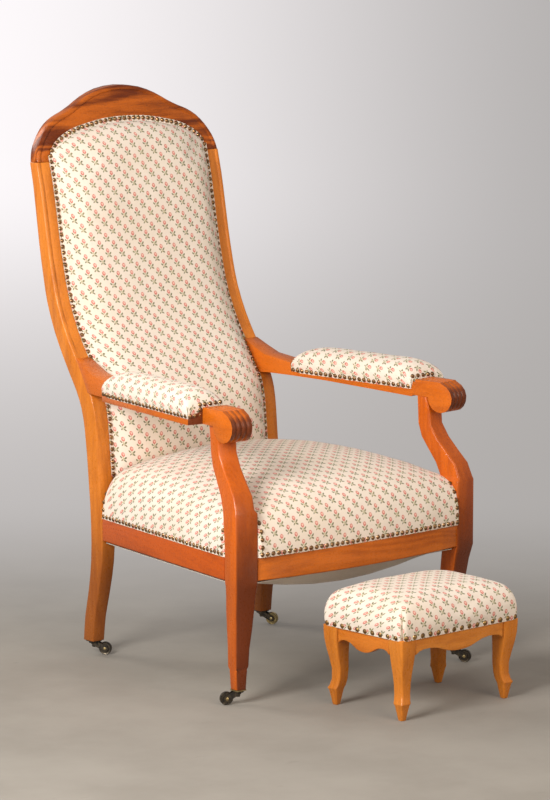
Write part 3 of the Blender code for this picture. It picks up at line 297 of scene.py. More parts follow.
@dataclass(frozen=True)
class PolishedWood(Finish):
    """Waxed fruitwood with soft arches, dark streaks and open pores."""

    name: str
    grain: Grain
    light: Colour = (0.640, 0.262, 0.068)
    dark: Colour = (0.330, 0.095, 0.020)
    arches: float = 0.30
    offset: Point = (0.0, 0.0, 0.0)
    gloss: float = 0.27
    # painted shade on faces turned forwards: its strength, and the height above which it fades out
    painted_front_shade: float = 0.0
    painted_front_shade_below: float = 9.0
    # darkening towards the floor: its strength, and the height below which it grows
    foot: float = 0.0
    foot_below: float = 0.36
    ring_count: float = 110
    specular: float = 0.24
    coat: float = 0.13
    # the colour of the painted shade on forward faces and of the darkening towards the floor
    painted_shade_and_low_dark_colour: Colour = (0.120, 0.026, 0.008)

    def mixed(self, recipe: Recipe) -> bpy.types.Material:
        """Makes the material from an empty recipe."""
        along = recipe.place(self.offset, self.grain.value)
        plain = recipe.place(self.offset)
        broad = recipe.ease(recipe.noise(along, 24, 3, 0.55, 0.6), 0.32, 0.70)
        rings = (recipe.noise(along, 9, 2, 0.45, 0.4) * self.ring_count).sine() * 0.5 + 0.5
        streaks = recipe.ease(recipe.noise(along, 300, 3, 0.6), 0.35, 0.72)
        pores = recipe.ease(recipe.noise(along, 1100, 2, 0.5), 0.58, 0.72)
        smoke = recipe.ease(recipe.noise(plain, 9, 4, 0.6), 0.30, 0.75)
        share = broad * 0.42 + rings * self.arches * 0.55 + streaks * 0.26 + smoke * 0.20 - 0.12
        colour = recipe.blend(recipe.ease(share, 0, 1), self.light, self.dark)
        darkest = tuple(value * 0.45 for value in self.dark)
        colour = recipe.blend(pores * 0.35, colour, darkest)
        # painted shade on faces turned forwards, and darker wood towards the floor
        colour = recipe.blend(self.age(recipe, smoke), colour, self.painted_shade_and_low_dark_colour)
        fine = recipe.noise(plain, 160, 3, 0.6)
        return recipe.finish(
            Base_Color=colour,
            Roughness=recipe.ease(fine + streaks * 0.2, 0.3, 0.9, self.gloss - 0.04, self.gloss + 0.16),
            Specular_IOR_Level=self.specular,
            Coat_Weight=self.coat,
            Coat_Roughness=self.coat,
            Normal=recipe.bump(streaks * 0.5 + pores - fine * 0.2, 0.00018, 0.6),
        )

    def age(self, recipe: Recipe, smoke: Shade) -> Shade:
        """How much painted shade darkens the faces turned forwards, and how much darker the wood grows
        towards the floor.

        Args:
            recipe: The material's nodes.
            smoke: A soft noise that breaks up the dark parts' edges.

        Returns:
            0 where nothing is darkened and up to 1 on the darkest.
        """
        normal = recipe.node("ShaderNodeNewGeometry", output="Normal")
        forwards = recipe.part(normal, "Y") * -1
        height = recipe.part(recipe.place(), "Z") + (smoke - 0.5) * 0.08
        # painted shade on faces turned forwards, fading out above a height
        front = recipe.ease(forwards, 0.30, 0.85) * self.painted_front_shade
        front = front * recipe.ease(height, self.painted_front_shade_below - 0.30, self.painted_front_shade_below, 1, 0)
        # darker towards the floor
        low = recipe.ease(height, self.foot_below - 0.24, self.foot_below, 1, 0) * self.foot
        return front.most(low)


@dataclass(frozen=True)
class Leaf:
    """One blob of a sprig in millimetres: its middle, half sizes and turn in degrees."""

    across: float
    up: float
    long: float
    wide: float
    turn: float


@dataclass(frozen=True)
class SprigCloth(Finish):
    """Cream cotton printed with small rosebuds in staggered rows, on UV coordinates in metres."""

    name: str = "sprig_cloth"
    column: float = 0.0340
    row: float = 0.0312
    thread: float = 0.0011
    waver: float = 1.6
    ground: Colour = (0.800, 0.700, 0.600)
    worn: Colour = (0.730, 0.595, 0.450)
    rose: Colour = (0.560, 0.110, 0.085)
    petal: Colour = (0.860, 0.520, 0.420)
    green: Colour = (0.095, 0.108, 0.036)
    olive: Colour = (0.240, 0.228, 0.090)
    straw: Colour = (0.420, 0.385, 0.160)
    bud: Leaf = Leaf(-2.0, 5.0, 4.4, 3.7, 100)
    heart: Leaf = Leaf(-1.4, 5.5, 2.4, 1.7, 80)
    curl: Leaf = Leaf(-3.3, 6.6, 1.2, 0.8, 30)
    stem: Leaf = Leaf(-0.9, -3.0, 5.4, 0.95, 108)
    leaves: tuple[Leaf, ...] = (
        Leaf(-6.0, -1.2, 3.0, 1.60, 140),
        Leaf(3.4, -1.0, 3.4, 1.70, 48),
        Leaf(3.6, -6.5, 3.1, 1.65, 150),
        Leaf(-3.2, -6.8, 2.4, 1.25, 60),
    )

    def blob(self, recipe: Recipe, x: Shade, y: Shade, leaf: Leaf, soft: float = 0.35) -> Shade:
        """A soft ellipse.

        Args:
            recipe: The material's nodes.
            x: The place across the sprig, in millimetres.
            y: The place up the sprig, in millimetres.
            leaf: The ellipse.
            soft: How much of its radius the edge takes.

        Returns:
            1 inside the ellipse and 0 outside.
        """
        cosine, sine = math.cos(math.radians(leaf.turn)), math.sin(math.radians(leaf.turn))
        dx, dy = x - leaf.across, y - leaf.up
        along = (dx * cosine + dy * sine) * (1 / leaf.long)
        over = (dy * cosine - dx * sine) * (1 / leaf.wide)
        return recipe.ease(along * along + over * over, 1 + soft, 1 - soft)

    def mixed(self, recipe: Recipe) -> bpy.types.Material:
        """Makes the material from an empty recipe."""
        uv = recipe.node("ShaderNodeUVMap", {"uv_map": "cloth"})
        across, up = recipe.part(uv, "X"), recipe.part(uv, "Y")
        wander = recipe.noise(uv, 900, 2, 0.6)
        drift = recipe.noise(uv, 700, 2, 0.6)
        u, v = across * (1 / self.column), up * (1 / self.row)
        x, y = (u + 0.5).fract() - 0.5, (v + 0.5).fract() - 0.5
        between = (x.size() + y.size()).above(0.5)
        x, y = x + (u.fract() - 0.5 - x) * between, y + (v.fract() - 0.5 - y) * between
        number = {0: ((u - x) * 2 + 0.5).floor(), 1: ((v - y) * 2 + 0.5).floor()}
        sprig = recipe.node("ShaderNodeCombineXYZ", {}, number)
        chance = recipe.node("ShaderNodeTexWhiteNoise", {"noise_dimensions": "2D"}, {"Vector": sprig})
        x = x * (self.column * MILLIMETRES) + (wander - 0.5) * self.waver
        y = y * (self.row * MILLIMETRES) + (drift - 0.5) * self.waver
        green = self.blob(recipe, x, y, self.leaves[0])
        for leaf in self.leaves[1:]:
            green = green.most(self.blob(recipe, x, y, leaf))
        stem = self.blob(recipe, x, y, self.stem, 0.6)
        bud = self.blob(recipe, x, y, self.bud)
        heart = self.blob(recipe, x, y, self.heart, 0.5).most(self.blob(recipe, x, y, self.curl, 0.5))
        soil = recipe.ease(recipe.noise(uv, 7, 3, 0.55), 0.35, 0.80)
        slub = recipe.noise(uv, 420, 3, 0.6)
        colour = recipe.blend(soil * 0.45 + (slub - 0.5) * 0.8, self.ground, self.worn)
        colour = recipe.blend(stem * 0.85, colour, self.straw)
        leaf_colour = recipe.blend(recipe.ease(wander + chance * 0.3, 0.45, 0.9), self.green, self.olive)
        colour = recipe.blend(green * 0.92, colour, leaf_colour)
        rose = recipe.blend(heart * 0.85 + chance * 0.12, self.rose, self.petal)
        colour = recipe.blend(bud * 0.94, colour, rose)
        warp = (across * (math.tau / self.thread)).sine()
        weft = (up * (math.tau / self.thread)).sine()
        weave = warp * weft * 0.5 + slub * 1.2
        return recipe.finish(
            Base_Color=colour,
            Roughness=recipe.ease(slub, 0.2, 0.8, 0.78, 0.92),
            Specular_IOR_Level=0.25,
            Sheen_Weight=0.12,
            Sheen_Roughness=0.5,
            Normal=recipe.bump(weave, 0.00012, 0.5),
        )


@dataclass(frozen=True)
class PlainWeave(Finish):
    """Undyed plain-woven cloth or webbing on Object coordinates."""

    name: str
    light: Colour
    dark: Colour
    thread: float = 0.0016

    def mixed(self, recipe: Recipe) -> bpy.types.Material:
        """Makes the material from an empty recipe."""
        place = recipe.place()
        x, y, z = (recipe.part(place, axis) for axis in "XYZ")
        turn = math.tau / self.thread
        weave = (x * turn).sine() * ((y + z) * turn).sine() * 0.5 + 0.5
        slub = recipe.noise(place, 350, 3, 0.6)
        stain = recipe.ease(recipe.noise(place, 8, 3, 0.6), 0.35, 0.75)
        share = weave * 0.25 + slub * 0.4 + stain * 0.3
        return recipe.finish(
            Base_Color=recipe.blend(share, self.light, self.dark),
            Roughness=recipe.ease(slub, 0.2, 0.8, 0.82, 0.96),
            Specular_IOR_Level=0.2,
            Normal=recipe.bump(weave + slub, 0.0003, 0.6),
        )


@dataclass(frozen=True)
class OldMetal(Finish):
    """Cast or pressed metal with a patina that wears bright."""

    name: str
    bright: Colour
    patina: Colour
    worn: float = 0.5
    rough: float = 0.34

    def mixed(self, recipe: Recipe) -> bpy.types.Material:
        """Makes the material from an empty recipe."""
        place = recipe.place()
        cloud = recipe.noise(place, 130, 4, 0.6)
        grit = recipe.noise(place, 1400, 2, 0.6)
        share = recipe.ease(cloud + (grit - 0.5) * 0.3, self.worn - 0.18, self.worn + 0.18)
        return recipe.finish(
            Base_Color=recipe.blend(share, self.bright, self.patina),
            Metallic=recipe.ease(share, 0, 1, 1.0, 0.75),
            Roughness=recipe.ease(share + grit * 0.2, 0, 1.2, self.rough, self.rough + 0.28),
            Normal=recipe.bump(cloud + grit * 0.4, 0.0003, 0.5),
        )


UPRIGHT_WOOD = PolishedWood(
    "fruitwood_upright",
    Grain.UPRIGHT,
    light=(0.720, 0.225, 0.028),
    dark=(0.470, 0.125, 0.012),
    foot=0.66,
)
LEG_WOOD = PolishedWood(
    "fruitwood_leg",
    Grain.UPRIGHT,
    light=(0.610, 0.120, 0.006),
    dark=(0.390, 0.066, 0.003),
    offset=(0.3, 0.1, 0.7),
    # painted shade on the faces turned forwards, fading out between 0.2 m and 0.5 m up, and a little
    # darker towards the floor
    painted_front_shade=0.95,
    painted_front_shade_below=0.50,
    foot=0.25,
)
RAIL_WOOD = PolishedWood(
    "fruitwood_rail",
    Grain.ACROSS,
    light=(0.600, 0.150, 0.016),
    dark=(0.360, 0.078, 0.007),
    arches=0.5,
    offset=(0.5, 0.2, 0.4),
)
FORWARD_WOOD = PolishedWood(
    "fruitwood_forward",
    Grain.FORWARD,
    light=(0.500, 0.084, 0.005),
    dark=(0.290, 0.042, 0.003),
    offset=(0.1, 0.6, 0.2),
)
ARM_WOOD = PolishedWood(
    "fruitwood_arm",
    Grain.FORWARD,
    light=(0.620, 0.140, 0.009),
    dark=(0.400, 0.080, 0.005),
    arches=0.2,
    offset=(0.4, 0.3, 0.9),
    # painted shade on the faces turned forwards, such as the front of the scroll
    painted_front_shade=0.95,
)
CREST_WOOD = PolishedWood(
    "fruitwood_crest",
    Grain.ACROSS,
    light=(0.500, 0.112, 0.008),
    dark=(0.130, 0.021, 0.002),
    arches=1.0,
    offset=(0.2, 0.7, 0.15),
    gloss=0.24,
)
STOOL_WOOD = PolishedWood(
    "fruitwood_stool",
    Grain.UPRIGHT,
    light=(0.620, 0.200, 0.022),
    dark=(0.400, 0.110, 0.010),
)
APRON_WOOD = PolishedWood(
    "fruitwood_apron",
    Grain.ACROSS,
    light=(0.740, 0.265, 0.040),
    dark=(0.500, 0.150, 0.018),
    offset=(0.1, 0.2, 0.3),
)
END_WOOD = PolishedWood(
    "fruitwood_apron_end",
    Grain.FORWARD,
    light=(0.600, 0.175, 0.018),
    dark=(0.390, 0.095, 0.008),
    offset=(0.7, 0.2, 0.5),
)
HIDDEN_WOOD = PolishedWood(
    "deal",
    Grain.ACROSS,
    light=(0.600, 0.420, 0.230),
    dark=(0.400, 0.240, 0.110),
    gloss=0.55,
)
SPRIG = SprigCloth()
LINING = PlainWeave("lining_cloth", (0.840, 0.790, 0.710), (0.600, 0.530, 0.430))
WEBBING = PlainWeave("webbing_cloth", (0.480, 0.380, 0.250), (0.300, 0.220, 0.130), 0.0024)
NAIL_METAL = OldMetal("nail_bronze", (0.420, 0.240, 0.110), (0.120, 0.060, 0.026), 0.48, 0.20)
STOOL_NAIL_METAL = OldMetal("nail_brass", (0.480, 0.290, 0.105), (0.110, 0.058, 0.021), 0.46, 0.20)
CASTOR_METAL = OldMetal("castor_bronze", (0.130, 0.105, 0.075), (0.030, 0.026, 0.022), 0.46, 0.34)
CASTOR_BRASS = OldMetal("castor_wheel_brass", (0.520, 0.400, 0.190), (0.190, 0.140, 0.060), 0.52, 0.30)
SPRING_METAL = OldMetal("spring_wire", (0.380, 0.360, 0.340), (0.140, 0.120, 0.105), 0.50, 0.35)


def linked(name: str, data: Any) -> bpy.types.Object:
    """Puts a new object into the scene."""
    made = bpy.data.objects.new(name, data)
    bpy.context.scene.collection.objects.link(made)
    return made


def poured(name: str, bm: bmesh.types.BMesh) -> bpy.types.Mesh:
    """Turns a bmesh into a mesh and frees it."""
    mesh = bpy.data.meshes.new(name)
    bm.to_mesh(mesh)
    bm.free()
    return mesh


def whole(bm: bmesh.types.BMesh) -> list[Any]:
    """Everything in a bmesh, as the operators that cut take it."""
    return [*bm.verts, *bm.edges, *bm.faces]


def grid_mesh(places: np.ndarray) -> tuple[bmesh.types.BMesh, list[list[bmesh.types.BMVert]]]:
    """A grid whose corners stand at the given places.

    Args:
        places: Rows by columns by three coordinates.

    Returns:
        The bmesh and its vertices as rows.
    """
    rows, columns = places.shape[:2]
    bm = bmesh.new()
    bmesh.ops.create_grid(bm, x_segments=columns - 1, y_segments=rows - 1, size=1)
    ordered = sorted(bm.verts, key=lambda vert: (round(vert.co.y, 5), round(vert.co.x, 5)))
    lines = [ordered[i * columns : (i + 1) * columns] for i in range(rows)]
    for line, spots in zip(lines, places):
        for vert, spot in zip(line, spots):
            vert.co = spot
    return bm, lines


def keep(
    name: str,
    bm: bmesh.types.BMesh,
    material: bpy.types.Material,
    body: str,
    nodes: Iterable[str] = (),
    sharp: float = 38,
) -> bpy.types.Object:
    """Turns a bmesh into a finished piece of the object.

    Args:
        name: The piece's name.
        bm: Its shape, in place.
        material: Its finish.
        body: The CAD body that it rides on.
        nodes: The CAD nodes that it stands for.
        sharp: The angle in degrees past which an edge looks sharp.

    Returns:
        The piece.
    """
    mesh = poured(name, bm)
    mesh.shade_smooth()
    mesh.set_sharp_from_angle(angle=math.radians(sharp))
    mesh.materials.append(material)
    made = linked(name, mesh)
    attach(made, body)
    if nodes:
        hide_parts(*nodes)
    log.info("%s rides on %s with %d faces", name, body, len(mesh.polygons))
    return made


def node_copy(name: str) -> bmesh.types.BMesh:
    """A CAD node's mesh with its loose triangles merged into plain faces."""
    bm = bmesh.new()
    bm.from_mesh(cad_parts[name].data)
    bmesh.ops.remove_doubles(bm, verts=bm.verts, dist=MERGE)
    bmesh.ops.dissolve_limit(bm, angle_limit=math.radians(1), verts=bm.verts, edges=bm.edges)
    return bm


def ease_edges(bm: bmesh.types.BMesh, width: float, angle: float = 30) -> None:
    """Rounds the edges that turn by more than an angle.

    Args:
        bm: The shape.
        width: How far the rounding reaches on each side.
        angle: The least turn, in degrees.
    """
    limit = math.radians(angle)
    edges = [edge for edge in bm.edges if len(edge.link_faces) == 2 and edge.calc_face_angle() > limit]
    bmesh.ops.bevel(
        bm,
        geom=edges,
        offset=width,
        segments=2,
        profile=0.5,
        affect="EDGES",
        clamp_overlap=True,
        material=-1,
    )


class Probe:
    """Finds where straight lines meet the surfaces of some meshes."""

    def __init__(self, meshes: Iterable[bpy.types.Mesh]) -> None:
        """Gathers the meshes into one tree."""
        points: list[Vector] = []
        faces: list[list[int]] = []
        for mesh in meshes:
            start = len(points)
            points += [vert.co.copy() for vert in mesh.vertices]
            faces += [[start + i for i in face.vertices] for face in mesh.polygons]
        self.tree = BVHTree.FromPolygons(points, faces)

    def meet(self, start: Vector, way: Vector) -> tuple[Vector, Vector] | None:
        """The first point met from start along a way, with the surface's normal there."""
        place, normal, _, _ = self.tree.ray_cast(start, way)
        return None if place is None else (place, normal)


def node_probe(*names: str) -> Probe:
    """A probe of CAD nodes."""
    return Probe(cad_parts[name].data for name in names)


@dataclass
class Timber:
    """The wooden pieces, each a copy of its node with eased edges and its own run of grain."""

    edge: float = 0.0011
    stool_edge: float = 0.0012
    toe_top_z: float = 0.0700
    toe_step_z: float = 0.0668
    toe_share: float = 0.93

    def finishes(self) -> dict[str, PolishedWood]:
        """The finish of every wooden node, by name."""
        chosen = {"crest_rail": CREST_WOOD, "front_rail": RAIL_WOOD, "back_seat_rail": RAIL_WOOD}
        for _, hand in SIDES:
            chosen[f"back_stile_{hand}"] = UPRIGHT_WOOD
            chosen[f"front_leg_{hand}"] = LEG_WOOD
            chosen[f"side_rail_{hand}"] = FORWARD_WOOD
            chosen[f"arm_{hand}"] = ARM_WOOD
            for end in ("front", "back"):
                chosen[f"stool_leg_{end}_{hand}"] = STOOL_WOOD
        for side in ("front", "back", "left", "right"):
            chosen[f"stool_apron_{side}"] = APRON_WOOD if side in ("front", "back") else END_WOOD
        return chosen

    def cut_toe(self, bm: bmesh.types.BMesh) -> None:
        """Steps a front leg in above its castor, below a lip."""
        for height in (self.toe_top_z, self.toe_step_z):
            bmesh.ops.bisect_plane(bm, geom=whole(bm), plane_co=(0, 0, height), plane_no=(0, 0, 1))
        below = [vert for vert in bm.verts if vert.co.z < self.toe_step_z + MERGE]
        centre = sum((vert.co for vert in below), Vector()) / len(below)
        for vert in below:
            vert.co.x = mix(centre.x, vert.co.x, self.toe_share)
            vert.co.y = mix(centre.y, vert.co.y, self.toe_share)

    def build(self) -> None:
        """Builds and dresses every wooden piece that shows."""
        for node, finish in self.finishes().items():
            bm = node_copy(node)
            if node.startswith("front_leg"):
                self.cut_toe(bm)
            stool = node.startswith("stool")
            ease_edges(bm, self.stool_edge if stool else self.edge)
            keep(f"{node}_wood", bm, finish.material(), STOOL if stool else CHAIR, [node])


@dataclass
class Hardware:
    """The castors, springs and the hidden frame parts, dressed where they stand."""

    edge: float = 0.0004

    def dress(self, node: str, material: bpy.types.Material) -> None:
        """Gives a CAD node its material."""
        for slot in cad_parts[node].material_slots:
            slot.material = material
        log.info("%s keeps its solid", node)

    def build(self) -> None:
        """Dresses every node that keeps its solid."""
        for name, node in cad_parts.items():
            if name.startswith("castor_wheel"):
                brass = name.endswith("back_right")
                self.dress(name, (CASTOR_BRASS if brass else CASTOR_METAL).material())
            elif name.startswith("castor_axle") or name == "castor_plate_front_left":
                self.dress(name, CASTOR_BRASS.material())
            elif name.startswith("castor"):
                self.dress(name, CASTOR_METAL.material())
            elif name.startswith("seat_spring"):
                self.dress(name, SPRING_METAL.material())
            elif name == "seat_webbing":
                self.dress(name, WEBBING.material())
            elif name.startswith("corner_block") or name in ("stool_deck", "back_lower_rail"):
                self.dress(name, HIDDEN_WOOD.material())


def doubled(places: np.ndarray) -> np.ndarray:
    """Puts a smoothly curved point between each two of a grid, along its rows and its columns."""
    for _ in range(2):
        ends = np.concatenate((2 * places[:1] - places[1:2], places, 2 * places[-1:] - places[-2:-1]))
        middles = (9 * (ends[1:-2] + ends[2:-1]) - (ends[:-3] + ends[3:])) / 16
        fine = np.empty((2 * len(places) - 1, *places.shape[1:]))
        fine[::2], fine[1::2] = places, middles
        places = fine.transpose(1, 0, 2)
    return places


def runs(places: np.ndarray) -> tuple[np.ndarray, np.ndarray]:
    """How far along its row and its column each point of a grid lies from the grid's first one."""
    across = np.linalg.norm(np.diff(places, axis=1), axis=2)
    up = np.linalg.norm(np.diff(places, axis=0), axis=2)
    zero_column, zero_row = np.zeros((len(places), 1)), np.zeros((1, places.shape[1]))
    return (
        np.concatenate((zero_column, np.cumsum(across, axis=1)), axis=1),
        np.concatenate((zero_row, np.cumsum(up, axis=0)), axis=0),
    )


def inside(across: np.ndarray, up: np.ndarray) -> np.ndarray:
    """How far each point of a grid lies from the grid's nearest edge, from its runs."""
    return np.minimum(np.minimum(across, across[:, -1:] - across), np.minimum(up, up[-1:, :] - up))


def outward(places: np.ndarray) -> np.ndarray:
    """The unit normals of a grid whose rows turn left to its columns."""
    normals = np.cross(np.gradient(places, axis=1), np.gradient(places, axis=0))
    return normals / np.maximum(np.linalg.norm(normals, axis=2, keepdims=True), 1e-9)


@dataclass
class Pad(ABC):
    """A stuffed form whose nailed cloth is a grid, closed behind."""

    name: str = "pad"
    node: str = ""
    body: str = CHAIR
    columns: int = 60
    rows: int = 60
    fill: float = 0.8
    swell: float = 0.004
    pressure: float = 3.0
    stiffness: float = 40
    bending: float = 2
    steps: int = 20
    calm: int = 8
    flat_edge: float = 0.010
    pitch: float = 0.0122
    pucker: float = 0.0011
    pucker_reach: float = 0.009
    lump: float = 0.0010
    seed: float = 1.0

    @abstractmethod
    def spot(self, u: float, v: float) -> Vector:
        """Where the cloth's place (u, v), each from -1 to 1, stands."""

    @abstractmethod
    def close(self, bm: bmesh.types.BMesh, rim: list[bmesh.types.BMVert]) -> None:
        """Closes the pad behind its cloth, from the loop of its rim."""

    def lay(self) -> np.ndarray:
        """The cloth's first places, crowded towards its edges."""
        def shares(count: int) -> list[float]:
            """Places from -1 to 1."""
            return [math.sin(math.pi * (i / count - 0.5)) for i in range(count + 1)]

        return np.array([[self.spot(u, v) for u in shares(self.columns)] for v in shares(self.rows)])

    def simulate(self, places: np.ndarray) -> np.ndarray:
        """Lets the stuffing press the cloth out between its nails.

        Args:
            places: Where the cloth's points start.

        Returns:
            Where they end, no more than the swell away.
        """
        bm, lines = grid_mesh(places)
        bm.verts.index_update()
        order = np.array([vert.index for line in lines for vert in line])
        mesh = poured("cloth_trial", bm)
        trial = linked("cloth_trial", mesh)
        scene = bpy.context.scene
        rows, columns = places.shape[:2]
        flat = np.empty(len(mesh.vertices) * 3)
        held = trial.vertex_groups.new(name="nailed")
        edge = [i for i in range(rows * columns) if self.nailed(i // columns, i % columns, rows, columns)]
        held.add([int(order[i]) for i in edge], 1.0, "REPLACE")
        cloth = trial.modifiers.new("stuffing", "CLOTH")
        cloth.settings.use_pressure = True
        cloth.settings.uniform_pressure_force = self.pressure
        cloth.settings.effector_weights.gravity = 0
        cloth.settings.vertex_group_mass = held.name
        cloth.settings.tension_stiffness = self.stiffness
        cloth.settings.compression_stiffness = self.stiffness
        cloth.settings.bending_stiffness = self.bending
        cloth.point_cache.frame_start, cloth.point_cache.frame_end = 1, self.steps
        for step in range(1, self.steps + 1):
            scene.frame_set(step)
        seen = trial.evaluated_get(bpy.context.evaluated_depsgraph_get())
        seen.data.vertices.foreach_get("co", flat)
        moved = flat.reshape(-1, 3)[order].reshape(rows, columns, 3) - places
        scene.frame_set(1)
        bpy.data.objects.remove(trial)
        for _ in range(self.calm):
            near = moved[:-2, 1:-1] + moved[2:, 1:-1] + moved[1:-1, :-2] + moved[1:-1, 2:]
            moved[1:-1, 1:-1] = near / 4
        across, up = runs(places)
        moved *= np.clip((inside(across, up) - self.flat_edge) / self.flat_edge, 0, 1)[..., None]
        reach = np.linalg.norm(moved, axis=2, keepdims=True)
        log.info("%s swells by up to %.1f mm before its cap", self.name, 1000 * reach.max())
        return places + moved * np.minimum(1, self.swell / np.maximum(reach, 1e-9))

    def nailed(self, row: int, column: int, rows: int, columns: int) -> bool:
        """Whether a point of the cloth is held by the nails."""
        return min(row, column, rows - 1 - row, columns - 1 - column) < 1

    def wrinkle(self, places: np.ndarray) -> np.ndarray:
        """Adds the pull of the nails and the stuffing's lumps.

        Args:
            places: The cloth's points.

        Returns:
            The points, moved along their normals.
        """
        across, up = runs(places)
        normals = outward(places)
        push = np.zeros(places.shape[:2])
        for from_edge, along in (
            (across, up),
            (across[:, -1:] - across, up),
            (up, across),
            (up[-1:, :] - up, across),
        ):
            pull = 0.5 + 0.5 * np.cos(along * (math.tau / self.pitch))
            rise = np.minimum(from_edge / 0.003, 1)
            push -= self.pucker * pull * rise * np.exp(-from_edge / self.pucker_reach)
        depth = inside(across, up)
        for row in range(places.shape[0]):
            for column in range(places.shape[1]):
                spot = Vector(places[row, column]) * 22 + Vector((self.seed, 0, 0))
                push[row, column] += self.lump * noise.noise(spot) * min(depth[row, column] / 0.03, 1)
        return places + normals * push[..., None]

    def build(self) -> bpy.types.Object:
        """Returns:
            The piece.
        """
        places = self.lay()
        places = self.simulate(places)
        places = self.wrinkle(doubled(places))
        across, up = runs(places)
        across = across - across[:, across.shape[1] // 2][:, None]
        bm, lines = grid_mesh(places)
        layer = bm.loops.layers.uv.new("cloth")
        where = {vert: (i, j) for i, line in enumerate(lines) for j, vert in enumerate(line)}
        for face in bm.faces:
            for loop in face.loops:
                i, j = where[loop.vert]
                loop[layer].uv = (across[i, j], up[i, j])
        rim = lines[0] + [line[-1] for line in lines[1:]] + lines[-1][-2::-1]
        rim += [line[0] for line in lines[-2:0:-1]]
        self.close(bm, rim)
        bmesh.ops.recalc_face_normals(bm, faces=bm.faces)
        made = keep(self.name, bm, SPRIG.material(), self.body, [self.node], 70)
        return made


def drawn(
    bm: bmesh.types.BMesh, rim: list[bmesh.types.BMVert], places: Sequence[Vector]
) -> list[bmesh.types.BMVert]:
    """Extrudes a closed loop of vertices to new places.

    Args:
        bm: The shape.
        rim: The loop, in order.
        places: Where each new vertex goes.

    Returns:
        The new loop, in the same order.
    """
    edges = [bm.edges.get((a, b)) for a, b in zip(rim, rim[1:] + rim[:1])]
    made = bmesh.ops.extrude_edge_only(bm, edges=edges)["geom"]
    new = {vert for vert in made if isinstance(vert, bmesh.types.BMVert)}
    near = [[edge.other_vert(vert) for edge in vert.link_edges] for vert in rim]
    loop = [next(vert for vert in others if vert in new) for others in near]
    for vert, spot in zip(loop, places):
        vert.co = spot
    return loop


def capped(bm: bmesh.types.BMesh, rim: list[bmesh.types.BMVert]) -> None:
    """Fills a closed loop of vertices with one face."""
    bmesh.ops.edgeloop_fill(bm, edges=[bm.edges.get((a, b)) for a, b in zip(rim, rim[1:] + rim[:1])])


def bridged(bm: bmesh.types.BMesh, rim: list[bmesh.types.BMVert], columns: int, rows: int) -> None:
    """Fills a grid's closed rim with faces that run from side to side.

    Args:
        bm: The shape.
        rim: The loop: its lowest row, its right side up, its top row back and its left side down.
        columns: How many vertices a row has.
        rows: How many vertices a side has.
    """
    right = rim[columns : columns + rows - 2]
    left = rim[: -(rows - 1) : -1]
    sides = [bm.edges.get(pair) for side in (left, right) for pair in zip(side, side[1:])]
    bmesh.ops.bridge_loops(bm, edges=sides)
    bmesh.ops.holes_fill(bm, edges=[edge for edge in bm.edges if edge.is_boundary])


@dataclass
class SeatPad(Pad):
    """The stuffed seat, its cloth drawn over the edge and nailed round the rails and legs."""

    name: str = "seat_upholstery"
    node: str = "seat_cushion"
    columns: int = 110
    rows: int = 110
    pitch: float = 0.0128
    front_y: float = -0.2500
    back_y: float = 0.2528
    bow: float = 0.0160
    half: float = 0.2360
    splay: float = 0.1443
    leg_front_y: float = -0.2455
    leg_width: float = 0.0505
    leg_depth: float = 0.0430
    base_z: float = 0.2849
    front_wall: float = 0.0660
    back_wall: float = 0.0820
    rise: float = 0.0780
    bulge: float = 0.0018
    lap: float = 0.0007
    rail_top_z: float = 0.2870
    pocket: Point = (0.152, 0.137, 0.066)

    def side_x(self, y: float) -> float:
        """The outer face of the right side rail."""
        return self.half + (self.back_y - y) * self.splay

    def spot(self, u: float, v: float) -> Vector:
        """Where the cloth's place (u, v) stands."""
        y = mix(self.front_y - self.lap - (1 - u * u) * self.bow, self.back_y, (v + 1) / 2)
        wall = crown(u, 24) * crown(v, 24) * mix(self.front_wall, self.back_wall, (v + 1) / 2)
        rise = crown(u, 2) * crown(v, 2) * self.rise
        out = self.lap + self.bulge * math.sin(math.pi * min(wall / self.front_wall, 1)) ** 0.7
        x = u * (self.side_x(max(y, self.leg_front_y)) + out)
        if v < 0:
            y -= self.bulge * math.sin(math.pi * min(wall / self.front_wall, 1)) * (-v) ** 12
        return self.clear_leg(Vector((x, y, self.base_z + wall + rise))) + ORIGIN

    def clear_leg(self, spot: Vector) -> Vector:
        """Keeps the cloth's corner behind the faces of the front leg that it is cut round."""
        side = math.copysign(1, spot.x)
        turn = math.atan(self.splay)
        corner = Vector((self.side_x(self.leg_front_y), self.leg_front_y))
        out = corner - Vector((abs(spot.x), spot.y))
        inwards = out.x * math.cos(turn) + out.y * math.sin(turn)
        back = out.x * math.sin(turn) - out.y * math.cos(turn)
        if inwards < self.leg_width - 0.0003 and back < self.leg_depth - 0.0003:
            inwards, back = max(inwards, 0.006), max(back, 0.006)
            x = corner.x - inwards * math.cos(turn) - back * math.sin(turn)
            y = corner.y - inwards * math.sin(turn) + back * math.cos(turn)
            return Vector((side * x, y, spot.z))
        return spot

    def close(self, bm: bmesh.types.BMesh, rim: list[bmesh.types.BMVert]) -> None:
        """Folds the cloth over the rails and leaves the pocket for the springs."""
        middle = Vector((ORIGIN.x, ORIGIN.y, 0))

        def shrunk(vert: bmesh.types.BMVert, by: float, z: float) -> Vector:
            """The vertex's place drawn in towards the middle, at a height."""
            way = vert.co - middle
            return Vector((vert.co.x - math.copysign(by, way.x), vert.co.y - math.copysign(by, way.y), z))

        def pocket_spot(vert: bmesh.types.BMVert, z: float) -> Vector:
            """The vertex's place on the pocket's wall."""
            way = vert.co - middle
            share = max(abs(way.x) / self.pocket[0], abs(way.y) / self.pocket[1])
            return Vector((middle.x + way.x / share, middle.y + way.y / share, z))

        under = drawn(bm, rim, [shrunk(vert, 0.0004, self.rail_top_z) for vert in rim])
        edge = drawn(bm, under, [pocket_spot(vert, self.rail_top_z) for vert in under])
        roof = drawn(bm, edge, [pocket_spot(vert, self.rail_top_z + self.pocket[2]) for vert in edge])
        capped(bm, roof)


